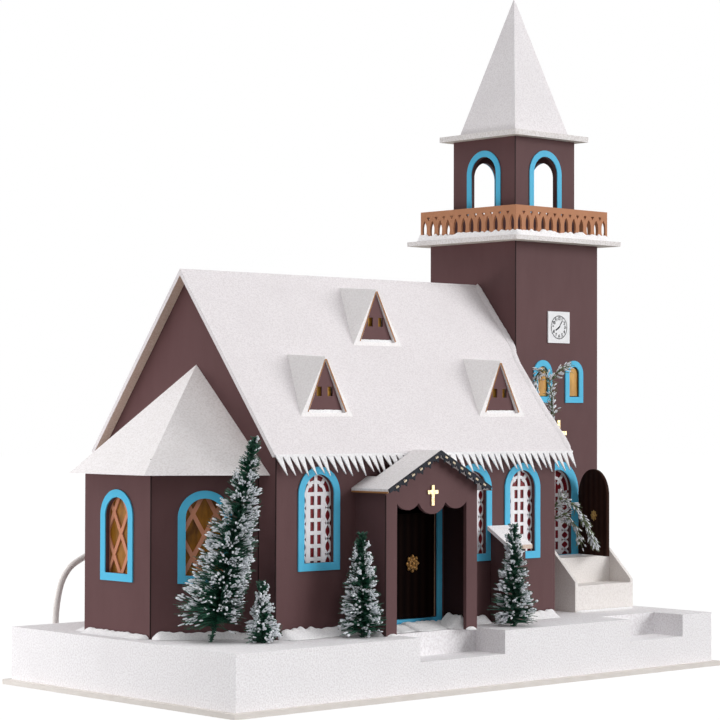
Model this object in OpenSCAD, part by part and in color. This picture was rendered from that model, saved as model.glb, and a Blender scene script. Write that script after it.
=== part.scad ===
// A light-up village church of painted paperboard on a snowy plinth.
// X runs along the long front, Y runs back from it, Z is up.
// Places are given from the plinth's front left corner and moved so that the
// origin lies under the middle of the bottom board.

/* [Plinth] */
// Length of the snowy plinth
base_l = 400; // [396:1:420]
// Depth of the plinth
base_w = 212; // [210:1:230]
// Height of the plinth's top above the table
base_h = 34.5; // [32:0.5:38]
// Thickness of the bottom board
board_t = 3; // [2:0.5:4]
// How far the bottom board stands out all round
lip = 4; // [2:0.5:8]
// Thickness of the paperboard walls
card_t = 2.5; // [2:0.1:3]
// Height of the steps let into the front edge
notch_h = 20.5; // [16:0.5:24]
// Depth of those steps
notch_d = 24.5; // [16:0.5:26]
// Left end of the step in front of the porch
notch1_x = 137; // [130:1:140]
// Length of the step in front of the porch
notch1_l = 70; // [60:1:74]
// Left end of the step in front of the tower
notch2_x = 319.5; // [310:0.5:325]
// Length of the step in front of the tower
notch2_l = 51.5; // [40:0.5:56]

/* [Nave] */
// Left end of the nave
nave_x = 65.5; // [64:0.5:67]
// Front face of the nave
nave_y = 44.5; // [44:0.5:45]
// Length of the nave
nave_l = 233; // [232:0.5:234]
// Depth of the nave
nave_d = 162; // [160:1:163]
// Height of the wall's top at the eaves, above the table
nave_eave = 144; // [142:0.5:146]
// Height of the gable's peak above the eaves
nave_rise = 101; // [98:0.5:104]
// Thickness of the roof sheet
roof_t = 2.5; // [2:0.1:3]
// How far the roof stands out at the eaves
roof_over = 6.5; // [5:0.5:7]
// How far the roof stands out over the left gable
roof_left = 6.5; // [4:0.5:8]
// How far the roof stands out to the right, just short of the tower
roof_right = 9; // [8:0.5:12]

/* [Icicles] */
// Number of icicles along the eaves
ice_n = 45; // [40:1:50]
// Height of the strip that they hang from
ice_band = 1.2; // [1:0.1:1.5]
// Length of the shortest icicle
ice_min = 9.5; // [6:0.5:10]
// Added length of the longest one
ice_more = 2.5; // [1:0.5:4.5]
// How far a tip leans to the right of its root
ice_lean = 6.5; // [4:0.5:7]
// Thickness of the cut paper
paper_t = 0.8; // [0.6:0.1:1]

/* [Windows] */
// Width of the blue frames on the nave
win_w = 32; // [30:0.5:33]
// Height of those frames
win_h = 60; // [58:0.5:62]
// Height of their foot above the table
win_z = 72.5; // [70:0.5:74]
// Width of a frame's band
win_band = 4.5; // [3.5:0.5:5]
// Middle of the window left of the porch
win1_x = 98; // [96:0.5:100]
// From the porch's right side to the middle of the second window
win2_out = 23; // [21.5:0.5:23.5]
// Middle of the last window before the tower
win3_x = 268.2; // [266:0.1:270]
// Width of the lattice's bars
bar_w = 2.1; // [1.4:0.1:2.4]
// Thickness of the cellophane panes
pane_t = 0.5; // [0.4:0.1:0.8]
// How far a lattice laps behind its opening
lap = 2; // [1.5:0.1:2.5]

/* [Dormers] */
// Width of a dormer at its foot
dormer_w = 31; // [28:1:32]
// Width of the snowy card over a dormer, at its foot
tent_w = 41; // [38:0.5:42]
// Width of that card where it meets the roof behind
tent_back = 11.4; // [8:0.2:12]
// How far its foot stands out in front
tent_lip = 1.7; // [1:0.1:2]
// Height of a dormer
dormer_h = 33; // [30:0.5:35]
// Thickness of the dormers' card
dormer_t = 0.9; // [0.8:0.1:1.2]
// Middle of the upper dormer
dormer1_x = 187; // [150:1:220]
// Middle of the lower left dormer
dormer2_x = 114; // [90:1:140]
// Middle of the lower right dormer
dormer3_x = 261.5; // [240:0.5:280]
// Distance of the upper dormer's face behind the nave's front
dormer_high = 47.5; // [40:0.5:50]
// Distance of the lower dormers' faces behind the nave's front
dormer_low = 12.5; // [8:0.5:16]
// How far a face is set back under its roof
dormer_set = 0.5; // [0.3:0.1:1]
// Width of a dormer's little windows
peep_w = 4; // [3:0.1:4.2]
// Distance between the middles of those openings
peep_apart = 8.6; // [8:0.1:8.8]
// Height of a dormer's little windows
peep_h = 5.5; // [4:0.1:6]

/* [Apse] */
// Left face of the apse
apse_x = 14; // [13:0.5:15]
// Half the width of its left face
apse_half = 31.8; // [31:0.1:33]
// Half its width where it meets the nave
apse_foot = 65.8; // [64:0.1:67]
// Height of its eaves
apse_eave = 127.8; // [126:0.1:130]
// Height of its roof's peak
apse_peak = 192; // [188:1:196]
// How far the eaves stand out
apse_over = 8.5; // [7:0.5:9]
// How far the peak leans to the front
apse_lean = 8; // [0:0.5:8]
// Width of the apse windows' frames
apse_win_w = 31; // [29:0.5:32]
// Height of the apse windows' frames
apse_win_h = 53; // [50:0.5:54]
// Height of their foot above the table
apse_win_z = 66; // [64:0.5:68]
// Width of the apse windows' brown bars
diamond_w = 2.4; // [2:0.1:3]

/* [Porch] */
// Left side of the porch
porch_x = 126.5; // [126:0.5:127]
// Width of the porch
porch_w = 75; // [74:0.5:76]
// Depth of the porch in front of the nave
porch_d = 26.3; // [26:0.1:27]
// Height of its side walls' tops above the table
porch_eave = 120; // [119:0.5:121]
// Rise of its gable
porch_rise = 19.5; // [19:0.5:20]
// How far its roof stands out to the sides
porch_side = 5; // [4:0.5:6]
// How far its roof sits off to the right
porch_slip = 2; // [0:0.5:3]
// How far its roof stands out in front
porch_front = 5; // [4:0.5:6]
// Thickness of the porch roof
porch_t = 2; // [1.8:0.1:2.2]
// Width of the posts beside the opening
post_w = 9; // [8:0.5:10]
// Height at which the scallops meet
cusp_z = 111; // [110:0.5:112]
// Height of the middle scallop's lowest point
scallop_z = 104.2; // [104:0.1:106]
// Height of the outer scallops' lowest points
scallop2_z = 107; // [106:0.1:108]
// Width of the middle scallop
scallop_w = 22; // [20:0.5:23]
// Height of the black lace on its gable
lace_h = 4.5; // [4:0.1:5]
// Length of one motif of the lace
lace_pitch = 7.2; // [7:0.1:8]

/* [Doors] */
// Thickness of the door leaves
leaf_t = 2; // [1.6:0.1:2.2]
// Gap between a leaf and its frame
leaf_gap = 0.4; // [0.3:0.1:0.6]
// Thickness of the blue door frames
frame_t = 1; // [0.8:0.1:1.2]
// Gap between the porch leaf's free edge and the doorway when closed
pdoor_gap = 4.6; // [3:0.1:6]
// Height of the porch door's foot
pdoor_z = 41.5; // [41:0.5:42]
// Height of the porch door's top
pdoor_top = 103.5; // [100:0.5:103.5]
// From the porch's left side to its doorway
pway_in = 11.5; // [10.5:0.5:12.5]
// From the doorway to the porch's right side
pway_out = 8.5; // [7.5:0.5:9.5]
// Height of the porch doorway's top
pway_top = 113; // [112:0.5:114]
// How far the porch door stands open, in degrees
pdoor_open = 0; // [0:1:80]
// Width of the tower door's leaf
tdoor_w = 34; // [32:0.5:35]
// Height of the tower door's leaf
tdoor_h = 57; // [54:0.5:58]
// Outer width of the tower door's frame
tframe_w = 40; // [38:0.5:41]
// Height of that frame's top
tframe_top = 132; // [131:0.5:133]
// Width of that frame's band
tframe_band = 6; // [5:0.5:7]
// How far the tower door stands open, in degrees
tdoor_open = 75; // [0:1:90]
// Radius of the gilt rosette on the porch door
prose_r = 4.6; // [4:0.1:5]
// Radius of the gilt rosette on the tower door
trose_r = 3.2; // [3:0.1:4]

/* [Tower] */
// Left side of the tower
tower_x = 311.5; // [311.5:0.5:311.5]
// Front of the tower
tower_y = 91.5; // [91:0.5:92]
// Width of the tower each way
tower_w = 80; // [79:0.5:81]
// Height of the tower's top above the table
tower_top = 277; // [270:1:285]
// Width of the small windows' frames
slit_w = 17.6; // [16:0.2:18]
// Height of the small windows' frames
slit_h = 28.2; // [27:0.2:30]
// Height of their foot
slit_z = 170.7; // [165:0.1:175]
// Distance between the two windows' middles
slit_apart = 30.6; // [29:0.2:32]
// Side of the clock's white card
clock_s = 21; // [19:0.5:23]
// Height of the clock's middle
clock_z = 221; // [218:0.5:226]
// Height of the gilt cross over the tower door
cross_h = 24; // [20:0.5:24.5]
// Height of that cross's foot
cross_z = 135; // [134:0.5:136]

/* [Gallery and belfry] */
// How far the gallery's deck stands out
deck_over = 11.3; // [10:0.1:12]
// Thickness of the deck
deck_t = 3; // [2.5:0.1:3.5]
// How far the balustrade stands out from the tower
rail_over = 4.8; // [4:0.1:6]
// Height of the balustrade
rail_h = 20.3; // [18:0.1:22]
// Thickness of the balustrade
rail_t = 1.5; // [1.2:0.1:1.8]
// Number of balusters a side
rail_n = 12; // [8:1:14]
// Width of the belfry
belfry_w = 58; // [56:0.5:60]
// Height of the belfry's top above the table
belfry_top = 348; // [344:0.5:352]
// Width of the belfry's arches
arch_w = 23; // [20:0.5:24]
// Height of the arches' sills above the deck
arch_sill = 14.5; // [12:0.5:16]
// Height of the arches
arch_h = 41.5; // [38:0.5:43]
// How far the cap stands out from the belfry
cap_over = 6.8; // [5:0.1:8]
// Thickness of the cap
cap_t = 3.6; // [3:0.1:4]
// Width of the spire's foot
spire_w = 52.6; // [50:0.2:54]
// Height of the spire
spire_h = 95; // [85:1:100]

/* [Stairs and buttress] */
// Left side of the stairs
stair_x = 330; // [329.5:0.5:330.5]
// Width of the stairs
stair_w = 56.5; // [56:0.5:57]
// Front of the stairs
stair_y = 55.5; // [54:0.5:56]
// Height of a step
riser = 17; // [16:0.5:18]
// Depth of a step
tread = 18.5; // [18:0.5:19]
// Height of the side boards above the landing
cheek = 7.3; // [6:0.1:8]
// Left side of the buttress
butt_x = 239.5; // [239.5:0.5:240]
// Width of the buttress
butt_w = 14.5; // [14:0.5:15]
// Depth of the buttress
butt_d = 16.5; // [16:0.5:17]
// Height of its top at the wall, above the table
butt_z = 91.5; // [88:0.5:93]
// Fall of its sloping top
butt_fall = 9.5; // [8:0.5:12]
// How far its snowy cap stands out
butt_over = 3; // [2:0.5:3.5]

/* [Lamp and cord] */
// Distance of the lamp from the plinth's left end
lamp_x = 95; // [95:1:95]
// Height of the lamp above the table
lamp_z = 78; // [78:1:78]
// Radius of the lamp holder's barrel
holder_r = 10; // [9:0.5:11]
// Length of the barrel inside the wall
holder_l = 26; // [22:1:30]
// Radius of the holder's flange
flange_r = 14; // [13:0.5:16]
// Radius of the bulb at its widest
bulb_r = 11; // [9:0.5:12]
// Length of the bulb
bulb_l = 42; // [36:1:46]
// Diameter of the cord
cord_d = 4; // [4:0.1:4]

/* [Trees] */
// Height of the tall tree before the apse
tree1_h = 115.5; // [110:0.5:118]
// Height of the smallest tree
tree2_h = 34; // [30:0.5:38]
// Height of the tree left of the porch
tree3_h = 59.5; // [56:0.5:62]
// Height of the tree right of the porch
tree4_h = 61; // [58:0.5:64]
// Reach of the lowest strands, as a share of a tree's height, tree by tree
reach_shares = [0.173, 0.324, 0.235, 0.246];
// Radius of a tree's wire stem
stem_r = 1.6; // [1.4:0.1:1.8]
// Radius of a strand at its root
strand_r = 0.8; // [0.7:0.05:0.9]
// Number of strands on each brush tree
strand_n = 84; // [60:1:90]

/* [Hidden] */
$fn = 48;
// Bare foot of a tree, as a share of its height
bare_share = 0.12;
// Slack left where a piece passes close to another
slack = 0.4;
win2_x = porch_x + porch_w + win2_out;
win_xs = [win1_x, win2_x, win3_x];
pway_x = porch_x + pway_in;
pway_w = porch_w - pway_in - pway_out;
pdoor_w = pway_w - leaf_gap - pdoor_gap;
dormer_xs = [dormer1_x, dormer2_x, dormer3_x];
dormer_ys = [dormer_high, dormer_low, dormer_low];
mid_y = nave_y + nave_d / 2;
slope_share = nave_rise / (nave_d / 2);
pitch = atan(slope_share);
roof_v = roof_t / cos(pitch);
roof_x = nave_x - roof_left;
roof_l = roof_left + nave_l + roof_right;
eave_z = nave_eave - roof_over * slope_share;
ice_y = nave_y - roof_over;
porch_y = nave_y - porch_d;
porch_mid = porch_x + porch_w / 2;
porch_share = porch_rise / (porch_w / 2);
porch_v = porch_t / cos(atan(porch_share));
porch_left = porch_eave - porch_slip * porch_share;
porch_right = porch_eave + porch_slip * porch_share;
butt_back = butt_d - paper_t;
tower_mid = tower_x + tower_w / 2;
tower_midy = tower_y + tower_w / 2;
door_x = tower_mid + tframe_w / 2;
door_mid = door_x - tframe_w / 2;
landing = base_h + 2 * riser;
deck_z = tower_top + deck_t;
cap_z = belfry_top + cap_t;
hinge_y = frame_t + leaf_gap + leaf_t / 2;
// How far the card over a dormer reaches back, as a share of its level ridge
tent_share = 1.05;
lace_turn = atan(porch_share);
lace_len = (porch_w / 2 + porch_side) / cos(lace_turn);
// How deep the lace's band is, and its leaf from right to left, as shares of
// the lace's height and pitch
lace_drop_share = 0.54;
lace_first_share = 0.75;
leaf_shares = [[0.45, 0.54], [0.32, 0.8], [0.2, 0.7], [0, 1.2], [-0.2, 0.7], [-0.32, 0.8],
    [-0.45, 0.54]];

function unit(v) = v / norm(v);

// Moves what is placed from the plinth's corner so that the origin is its middle.
module place() {
    translate([-base_l / 2, -base_w / 2, 0]) children();
}

// Stands a flat outline up as a board of thickness t, seen from the front,
// from y back.
module upright(x, y, z, t) {
    translate([x, y + t, z]) rotate([90, 0, 0]) linear_extrude(t) children();
}

// Round-headed outline standing on its foot's middle.
module arch(w, h) {
    translate([-w / 2, 0]) square([w, h - w / 2]);
    translate([0, h - w / 2]) circle(w / 2);
}

// Round-headed frame: an arch with a band's width left round the opening.
module arch_frame(w, h, band) {
    difference() {
        arch(w, h);
        translate([0, band]) arch(w - 2 * band, h - 2 * band);
    }
}

// Paper tracery that fills an arch: an edge, three mullions joined by cross
// bars, and rings and small crosses by turns beside them.
module tracery(w, h) {
    rows = 6;
    step = (h - w / 2) / rows;
    difference() {
        arch(w, h);
        translate([0, lap]) arch(w - 2 * lap, h - 2 * lap);
    }
    intersection() {
        arch(w, h);
        union() {
            for (x = [-1, 0, 1])
                translate([x * w / 7 - bar_w / 2, 0]) square([bar_w, h]);
            for (i = [1:rows + 1])
                translate([-w / 6, i * step - bar_w / 2]) square([w / 3, bar_w]);
            for (side = [-1, 1], i = [1:2:rows + 1])
                translate([side * w * 0.36, i * step]) ring(step * 0.78);
            for (side = [-1, 1], i = [2:2:rows])
                translate([side * w * 0.34, i * step]) saltire(step * 1.1);
        }
    }
}

module ring(r) {
    difference() {
        circle(r);
        circle(r - bar_w);
    }
}

module saltire(s) {
    for (a = [-1, 1])
        rotate(45 * a) translate([-s / 2, -bar_w / 2]) square([s, bar_w]);
}

// Slanting bars that cross to make diamonds in an arch.
module diamonds(w, h) {
    step = w / 2.1;
    difference() {
        arch(w, h);
        translate([0, lap]) arch(w - 2 * lap, h - 2 * lap);
    }
    intersection() {
        arch(w, h);
        for (a = [-1, 1], i = [-1:3])
            translate([0, i * 2 * step]) rotate(90 - 28 * a)
                translate([-h, -diamond_w / 2]) square([2 * h, diamond_w]);
    }
}

module cross(h, w, bar, arm) {
    translate([-bar / 2, 0]) square([bar, h]);
    translate([-w / 2, h * arm - bar / 2]) square([w, bar]);
}

module rosette(r, t) {
    petals = 8;
    petal_r = r * 0.3;
    linear_extrude(t * 0.6) for (i = [0:petals - 1])
        rotate(i * 360 / petals) translate([r - petal_r, 0]) circle(petal_r);
    cylinder(h = t * 0.6, r = r * 0.72);
    cylinder(h = t, r = r * 0.3);
}

module base_board() color("white") place()
    translate([-lip, -lip, 0]) cube([base_l + 2 * lip, base_w + 2 * lip, board_t]);

// Steps let into the plinth's front, grown by g on the inside.
module notches(g) {
    for (n = [[notch1_x, notch1_l], [notch2_x, notch2_l]])
        translate([n[0] - g, -card_t, notch_h - g])
            cube([n[1] + 2 * g, notch_d + card_t + g, base_h]);
}

module base_box() color("white") place() difference() {
    translate([0, 0, board_t]) cube([base_l, base_w, base_h - board_t]);
    notches(0);
    difference() {
        translate([card_t, card_t, 0])
            cube([base_l - 2 * card_t, base_w - 2 * card_t, base_h - card_t]);
        notches(card_t);
    }
}

// The nave's end outline, seen along X.
module nave_end() {
    polygon([[0, 0], [nave_d, 0], [nave_d, nave_eave - base_h],
        [nave_d / 2, nave_eave + nave_rise - base_h], [0, nave_eave - base_h]]);
}

module along_x(x, l) {
    translate([x, nave_y, base_h]) rotate([90, 0, 90]) linear_extrude(l) children();
}

module nave_walls() color("saddlebrown") place() difference() {
    along_x(nave_x, nave_l) nave_end();
    along_x(nave_x + card_t, nave_l - 2 * card_t) translate([0, -card_t]) nave_room();
    for (x = win_xs)
        upright(x, nave_y - card_t, win_z + win_band, 3 * card_t)
            arch(win_w - 2 * win_band, win_h - 2 * win_band);
    translate([pway_x, nave_y - card_t, pdoor_z - frame_t])
        cube([pway_w, 3 * card_t, pway_top - pdoor_z + frame_t]);
    translate([lamp_x, nave_y + nave_d + card_t, lamp_z]) rotate([90, 0, 0])
        cylinder(h = 3 * card_t, r = holder_r);
}

// The room between the four walls, open at the top and bottom.
module nave_room() {
    high = nave_eave + nave_rise;
    translate([card_t, 0]) square([nave_d - 2 * card_t, high]);
}

module nave_frame(x) color("deepskyblue") place()
    upright(x, nave_y - paper_t, win_z, paper_t) arch_frame(win_w, win_h, win_band);

module nave_frame_1() { nave_frame(win_xs[0]); }
module nave_frame_2() { nave_frame(win_xs[1]); }
module nave_frame_3() { nave_frame(win_xs[2]); }

module nave_lattice(x) color("white") place()
    upright(x, nave_y + card_t, win_z + win_band - lap, paper_t)
        tracery(win_w - 2 * win_band + 2 * lap, win_h - 2 * win_band + 2 * lap);

module nave_lattice_1() { nave_lattice(win_xs[0]); }
module nave_lattice_2() { nave_lattice(win_xs[1]); }
module nave_lattice_3() { nave_lattice(win_xs[2]); }

module nave_pane() color("darkred") place()
    translate([0, nave_y + card_t + paper_t, 0]) difference() {
        translate([win_xs[0] - win_w / 2, 0, win_z])
            cube([win_xs[2] - win_xs[0] + win_w, pane_t, win_h + lap]);
        translate([porch_x, -pane_t, 0]) cube([porch_w, 3 * pane_t, pway_top + lap]);
    }

// A folded sheet, cut nearly square to its slope along the eaves.
module main_roof() color("snow") place()
    translate([roof_x, nave_y, 0]) rotate([90, 0, 90]) linear_extrude(roof_l) {
        top = eave_z + roof_v;
        under = [roof_over - roof_t * sin(pitch), top - roof_t * cos(pitch)];
        polygon([[-under[0], under[1]], [nave_d / 2, nave_eave + nave_rise],
            [nave_d + under[0], under[1]], [nave_d + roof_over, top - ice_band],
            [nave_d + roof_over, top], [nave_d / 2, nave_eave + nave_rise + roof_v],
            [-roof_over, top], [-roof_over, top - ice_band]]);
    }

function ice_len(i) = ice_min + ice_more * (0.5 + 0.5 * sin(i * 137.5 + 40 * sin(i * 71)));

// One outline: a strip along the eaves with teeth of changing length.
module icicles_front() color("white") place() {
    step = roof_l / ice_n;
    teeth = [for (i = [0:ice_n - 1]) each [
        [(i + 0.08) * step, -ice_band],
        [(i + 0.5 + 0.12 * sin(i * 97)) * step + ice_lean, -ice_band - ice_len(i)],
        [(i + 0.92) * step, -ice_band]]];
    upright(roof_x, ice_y - paper_t, eave_z + roof_v, paper_t)
        polygon(concat([[0, 0]], teeth, [[roof_l, -ice_band], [roof_l, 0]]));
}

// The solid of a dormer, inset by g, cut where it meets the roof.
module dormer_solid(g, from_y, deep) {
    half = dormer_w / 2;
    th = g / cos(atan(half / dormer_h));
    difference() {
        upright(0, from_y, 0, deep)
            polygon([[th - half, 0], [half - th, 0], [0, dormer_h - th * dormer_h / half]]);
        translate([-dormer_w, 0, 0]) rotate([90, 0, 90]) linear_extrude(2 * dormer_w)
            polygon([[0, 0], [2 * dormer_h, 2 * dormer_h * slope_share],
                [2 * dormer_h, -dormer_h], [-dormer_h, -dormer_h], [-dormer_h, 0]]);
    }
}

module dormer_place(i) {
    place() translate([dormer_xs[i], nave_y + dormer_ys[i],
        nave_eave + dormer_ys[i] * slope_share + roof_v]) children();
}

// The outside of the snowy card over a dormer: it flares to its foot and back.
module dormer_tent() {
    back = tent_share * dormer_h / slope_share;
    foot = -tent_lip * slope_share;
    polyhedron(points = [[0, 0, dormer_h], [-tent_w / 2, -tent_lip, foot],
        [tent_w / 2, -tent_lip, foot], [tent_back / 2, back, back * slope_share],
        [-tent_back / 2, back, back * slope_share]],
        faces = [[1, 2, 3, 4], [2, 1, 0], [3, 2, 0], [1, 4, 0], [4, 3, 0]]);
}

module dormer_roof(i) color("snow") dormer_place(i) difference() {
    dormer_tent();
    dormer_solid(dormer_t, -2 * tent_lip, 2 * dormer_h);
}

module dormer_gable(i) color("saddlebrown") dormer_place(i) difference() {
    dormer_solid(dormer_t, dormer_set, dormer_t);
    for (side = [-1, 1])
        translate([side * peep_apart / 2 - peep_w / 2, -dormer_h, dormer_h * 0.3])
            cube([peep_w, 2 * dormer_h, peep_h]);
}

module dormer_roof_1() { dormer_roof(0); }
module dormer_roof_2() { dormer_roof(1); }
module dormer_roof_3() { dormer_roof(2); }
module dormer_gable_1() { dormer_gable(0); }
module dormer_gable_2() { dormer_gable(1); }
module dormer_gable_3() { dormer_gable(2); }

// Corners of the apse's wall line, then of its eaves.
apse_pts = [[nave_x, mid_y - apse_foot], [apse_x, mid_y - apse_half],
    [apse_x, mid_y + apse_half], [nave_x, mid_y + apse_foot]];
apse_run = unit(apse_pts[1] - apse_pts[0]);
apse_turn = atan2(-apse_run[1], -apse_run[0]);
apse_eaves = [[nave_x, mid_y - apse_foot - apse_over / cos(apse_turn)],
    [apse_x - apse_over, mid_y - apse_half - apse_over * tan(45 + apse_turn / 2)],
    [apse_x - apse_over, mid_y + apse_half + apse_over * tan(45 + apse_turn / 2)],
    [nave_x, mid_y + apse_foot + apse_over / cos(apse_turn)]];
apse_v = roof_t / cos(45);

// The pyramid under the apse roof's sheet, lowered by v.
module apse_pyramid(v) {
    foot = [for (p = apse_eaves) [p[0], p[1], apse_eave - v]];
    peak = [nave_x, mid_y - apse_lean, apse_peak - v];
    polyhedron(points = concat(foot, [peak]),
        faces = [[3, 2, 1, 0], [0, 1, 4], [1, 2, 4], [2, 3, 4], [3, 0, 4]]);
}

// Inner corners of the wall line, a card's thickness in.
function apse_in(t) = [[nave_x, mid_y - apse_foot + t / cos(apse_turn)],
    [apse_x + t, mid_y - apse_half + t * tan(45 + apse_turn / 2)],
    [apse_x + t, mid_y + apse_half - t * tan(45 + apse_turn / 2)],
    [nave_x, mid_y + apse_foot - t / cos(apse_turn)]];

// Stands on the middle of an apse face, front edge outward.
module on_apse(i) {
    mid = (apse_pts[1 - i] + apse_pts[2 - i]) / 2;
    translate([mid[0], mid[1], 0]) rotate(i == 0 ? -90 : apse_turn) children();
}

module apse_walls() color("saddlebrown") place() difference() {
    intersection() {
        translate([0, 0, base_h]) linear_extrude(apse_peak) difference() {
            polygon(apse_pts);
            polygon(apse_in(card_t));
        }
        union() {
            apse_pyramid(apse_v);
            linear_extrude(apse_eave - apse_v) polygon(apse_eaves);
        }
    }
    for (i = [0, 1])
        on_apse(i) upright(0, -card_t, apse_win_z + win_band, 3 * card_t)
            arch(apse_win_w - 2 * win_band, apse_win_h - 2 * win_band);
}

module apse_roof() color("snow") place() difference() {
    apse_pyramid(0);
    apse_pyramid(apse_v);
}

module apse_frame(i) color("deepskyblue") place() on_apse(i)
    upright(0, -paper_t, apse_win_z, paper_t) arch_frame(apse_win_w, apse_win_h, win_band);

module apse_lattice(i) color("sienna") place() on_apse(i)
    upright(0, card_t, apse_win_z + win_band - lap, paper_t)
        diamonds(apse_win_w - 2 * win_band + 2 * lap, apse_win_h - 2 * win_band + 2 * lap);

module apse_frame_1() { apse_frame(0); }
module apse_frame_2() { apse_frame(1); }
module apse_lattice_1() { apse_lattice(0); }
module apse_lattice_2() { apse_lattice(1); }

// One folded amber sheet behind both lattices.
module apse_pane() color("goldenrod") place()
    translate([0, 0, apse_win_z]) linear_extrude(apse_win_h + lap) intersection() {
        difference() {
            polygon(apse_in(card_t + paper_t));
            polygon(apse_in(card_t + paper_t + pane_t));
        }
        translate([0, nave_y]) square([nave_x - lap, mid_y + apse_half - nave_y - lap]);
    }

// The porch's front outline with its scalloped opening.
module porch_face() {
    low = cusp_z - base_h;
    open_w = porch_w - 2 * post_w;
    side_w = (open_w - scallop_w) / 2;
    difference() {
        polygon([[0, 0], [porch_w, 0], [porch_w, porch_right - base_h],
            [porch_w / 2 + porch_slip, porch_eave + porch_rise - base_h],
            [0, porch_left - base_h]]);
        difference() {
            translate([post_w, -card_t]) square([open_w, low + card_t - slack / 2]);
            bulge(post_w + side_w / 2, side_w, cusp_z - scallop2_z, low);
            bulge(porch_w / 2, scallop_w, cusp_z - scallop_z, low);
            bulge(porch_w - post_w - side_w / 2, side_w, cusp_z - scallop2_z, low);
        }
    }
}

// The round whose lowest part hangs below height z, w wide and d deep.
module bulge(x, w, d, z) {
    r = (w * w / 4 + d * d) / (2 * d);
    translate([x, z + r - d]) circle(r);
}

module porch_walls() color("saddlebrown") place() {
    upright(porch_x, porch_y, base_h, card_t) porch_face();
    translate([porch_x, porch_y, base_h]) cube([card_t, porch_d, porch_left - base_h]);
    translate([porch_x + porch_w - card_t, porch_y, base_h])
        cube([card_t, porch_d, porch_right - base_h]);
}

// The porch roof's sheet, cut back under the nave's icicles.
module porch_roof() color("snow") place() difference() {
    upright(porch_mid + porch_slip, porch_y - porch_front, porch_eave, porch_front + porch_d)
        porch_sheet(porch_v);
    translate([porch_x, ice_y - paper_t - slack, nave_eave - roof_over * slope_share
        + roof_v - ice_band - ice_min - ice_more - slack])
        cube([porch_w, porch_d, nave_rise]);
}

module porch_sheet(v) {
    half = porch_w / 2 + porch_side;
    low = -porch_side * porch_share;
    polygon([[-half, low], [0, porch_rise], [half, low], [half, low + v],
        [0, porch_rise + v], [-half, low + v]]);
}

// Goes to the middle of a motif of the lace on the right slope, turned along it.
module on_slope(i) {
    translate([0, porch_rise + porch_v]) rotate(-lace_turn)
        translate([(i + lace_first_share) * lace_pitch, 0]) children();
}

// A point at s along the right slope from the ridge and t above its edge.
function slope_pt(s, t) = [s * cos(lace_turn) + t * sin(lace_turn),
    porch_rise + porch_v - s * sin(lace_turn) + t * cos(lace_turn)];

// Black lace along both slopes: a slotted band with a row of hanging leaves.
module porch_lace() color("black") place() {
    drop = lace_drop_share * lace_h;
    count = floor(lace_len / lace_pitch);
    leaf = [for (p = leaf_shares) [p[0] * lace_pitch, -p[1] * lace_h]];
    lower = [for (i = [count - 1:-1:0], p = leaf)
        slope_pt((i + lace_first_share) * lace_pitch + p[0], p[1])];
    right = concat([slope_pt(lace_len, 0), slope_pt(lace_len, -drop)], lower);
    left = [for (i = [len(right) - 1:-1:0]) [-right[i][0], right[i][1]]];
    ends = [[0, porch_rise + porch_v - drop / cos(lace_turn)], [0, porch_rise + porch_v]];
    upright(porch_mid + porch_slip, porch_y - porch_front - paper_t, porch_eave, paper_t)
        difference() {
            polygon(concat([ends[1]], right, [ends[0]], left));
            for (side = [0, 1], i = [0:count - 1])
                mirror([side, 0]) on_slope(i) lace_slot();
        }
}

module lace_slot() {
    slot_l = 0.34 * lace_pitch;
    slot_h = 0.18 * lace_h;
    translate([-slot_l / 2, -0.36 * lace_h]) square([slot_l, slot_h]);
}

module porch_cross() color("gold") place()
    upright(porch_mid, porch_y - paper_t, scallop_z + 2 * card_t, paper_t)
        cross(0.5 * cross_h, 0.35 * cross_h, 0.09 * cross_h, 0.66);

module porch_door_frame() color("deepskyblue") place()
    upright(pway_x, nave_y - frame_t, pdoor_z - frame_t, frame_t) difference() {
        translate([-win_band + slack, -win_band])
            square([pway_w + 2 * win_band - 2 * slack, pway_top - pdoor_z + 2 * win_band]);
        square([pway_w, pway_top - pdoor_z + frame_t]);
    }

// Turns a leaf about its upright axis on the left of the porch doorway.
module on_pdoor() {
    place() translate([pway_x + leaf_gap, nave_y - hinge_y, 0]) rotate(-pdoor_open) children();
}

// A leaf with the round of its fold along the hinge line.
module porch_door() color([0.12, 0.06, 0.05]) on_pdoor() translate([0, 0, pdoor_z]) {
    translate([0, -leaf_t / 2, 0]) cube([pdoor_w, leaf_t, pdoor_top - pdoor_z]);
    cylinder(h = pdoor_top - pdoor_z, r = leaf_t / 2);
}

module porch_rosette() color("goldenrod") on_pdoor()
    translate([pdoor_w * 0.62, -leaf_t / 2, pdoor_z + (pdoor_top - pdoor_z) * 0.52])
        rotate([90, 0, 0]) rosette(prose_r, leaf_t);

module tower_walls() color("saddlebrown") place() difference() {
    translate([tower_x, tower_y, base_h]) cube([tower_w, tower_w, tower_top - base_h]);
    translate([tower_x + card_t, tower_y + card_t, 0])
        cube([tower_w - 2 * card_t, tower_w - 2 * card_t, 2 * tower_top]);
    upright(door_mid, tower_y - card_t, landing + frame_t, 3 * card_t)
        arch(tframe_w - 2 * tframe_band, tframe_top - tframe_band - landing);
    for (side = [-1, 1])
        upright(tower_mid + side * slit_apart / 2 + frame_t, tower_y - card_t,
            slit_z + win_band - frame_t / 2, 3 * card_t)
            arch(slit_w - 2 * win_band + frame_t, slit_h - 2 * win_band + frame_t);
}

module tower_door_frame() color("deepskyblue") place()
    upright(door_mid, tower_y - frame_t, landing, frame_t) difference() {
        arch(tframe_w, tframe_top - landing);
        translate([0, frame_t])
            arch(tframe_w - 2 * tframe_band, tframe_top - landing - tframe_band - frame_t);
    }

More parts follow.
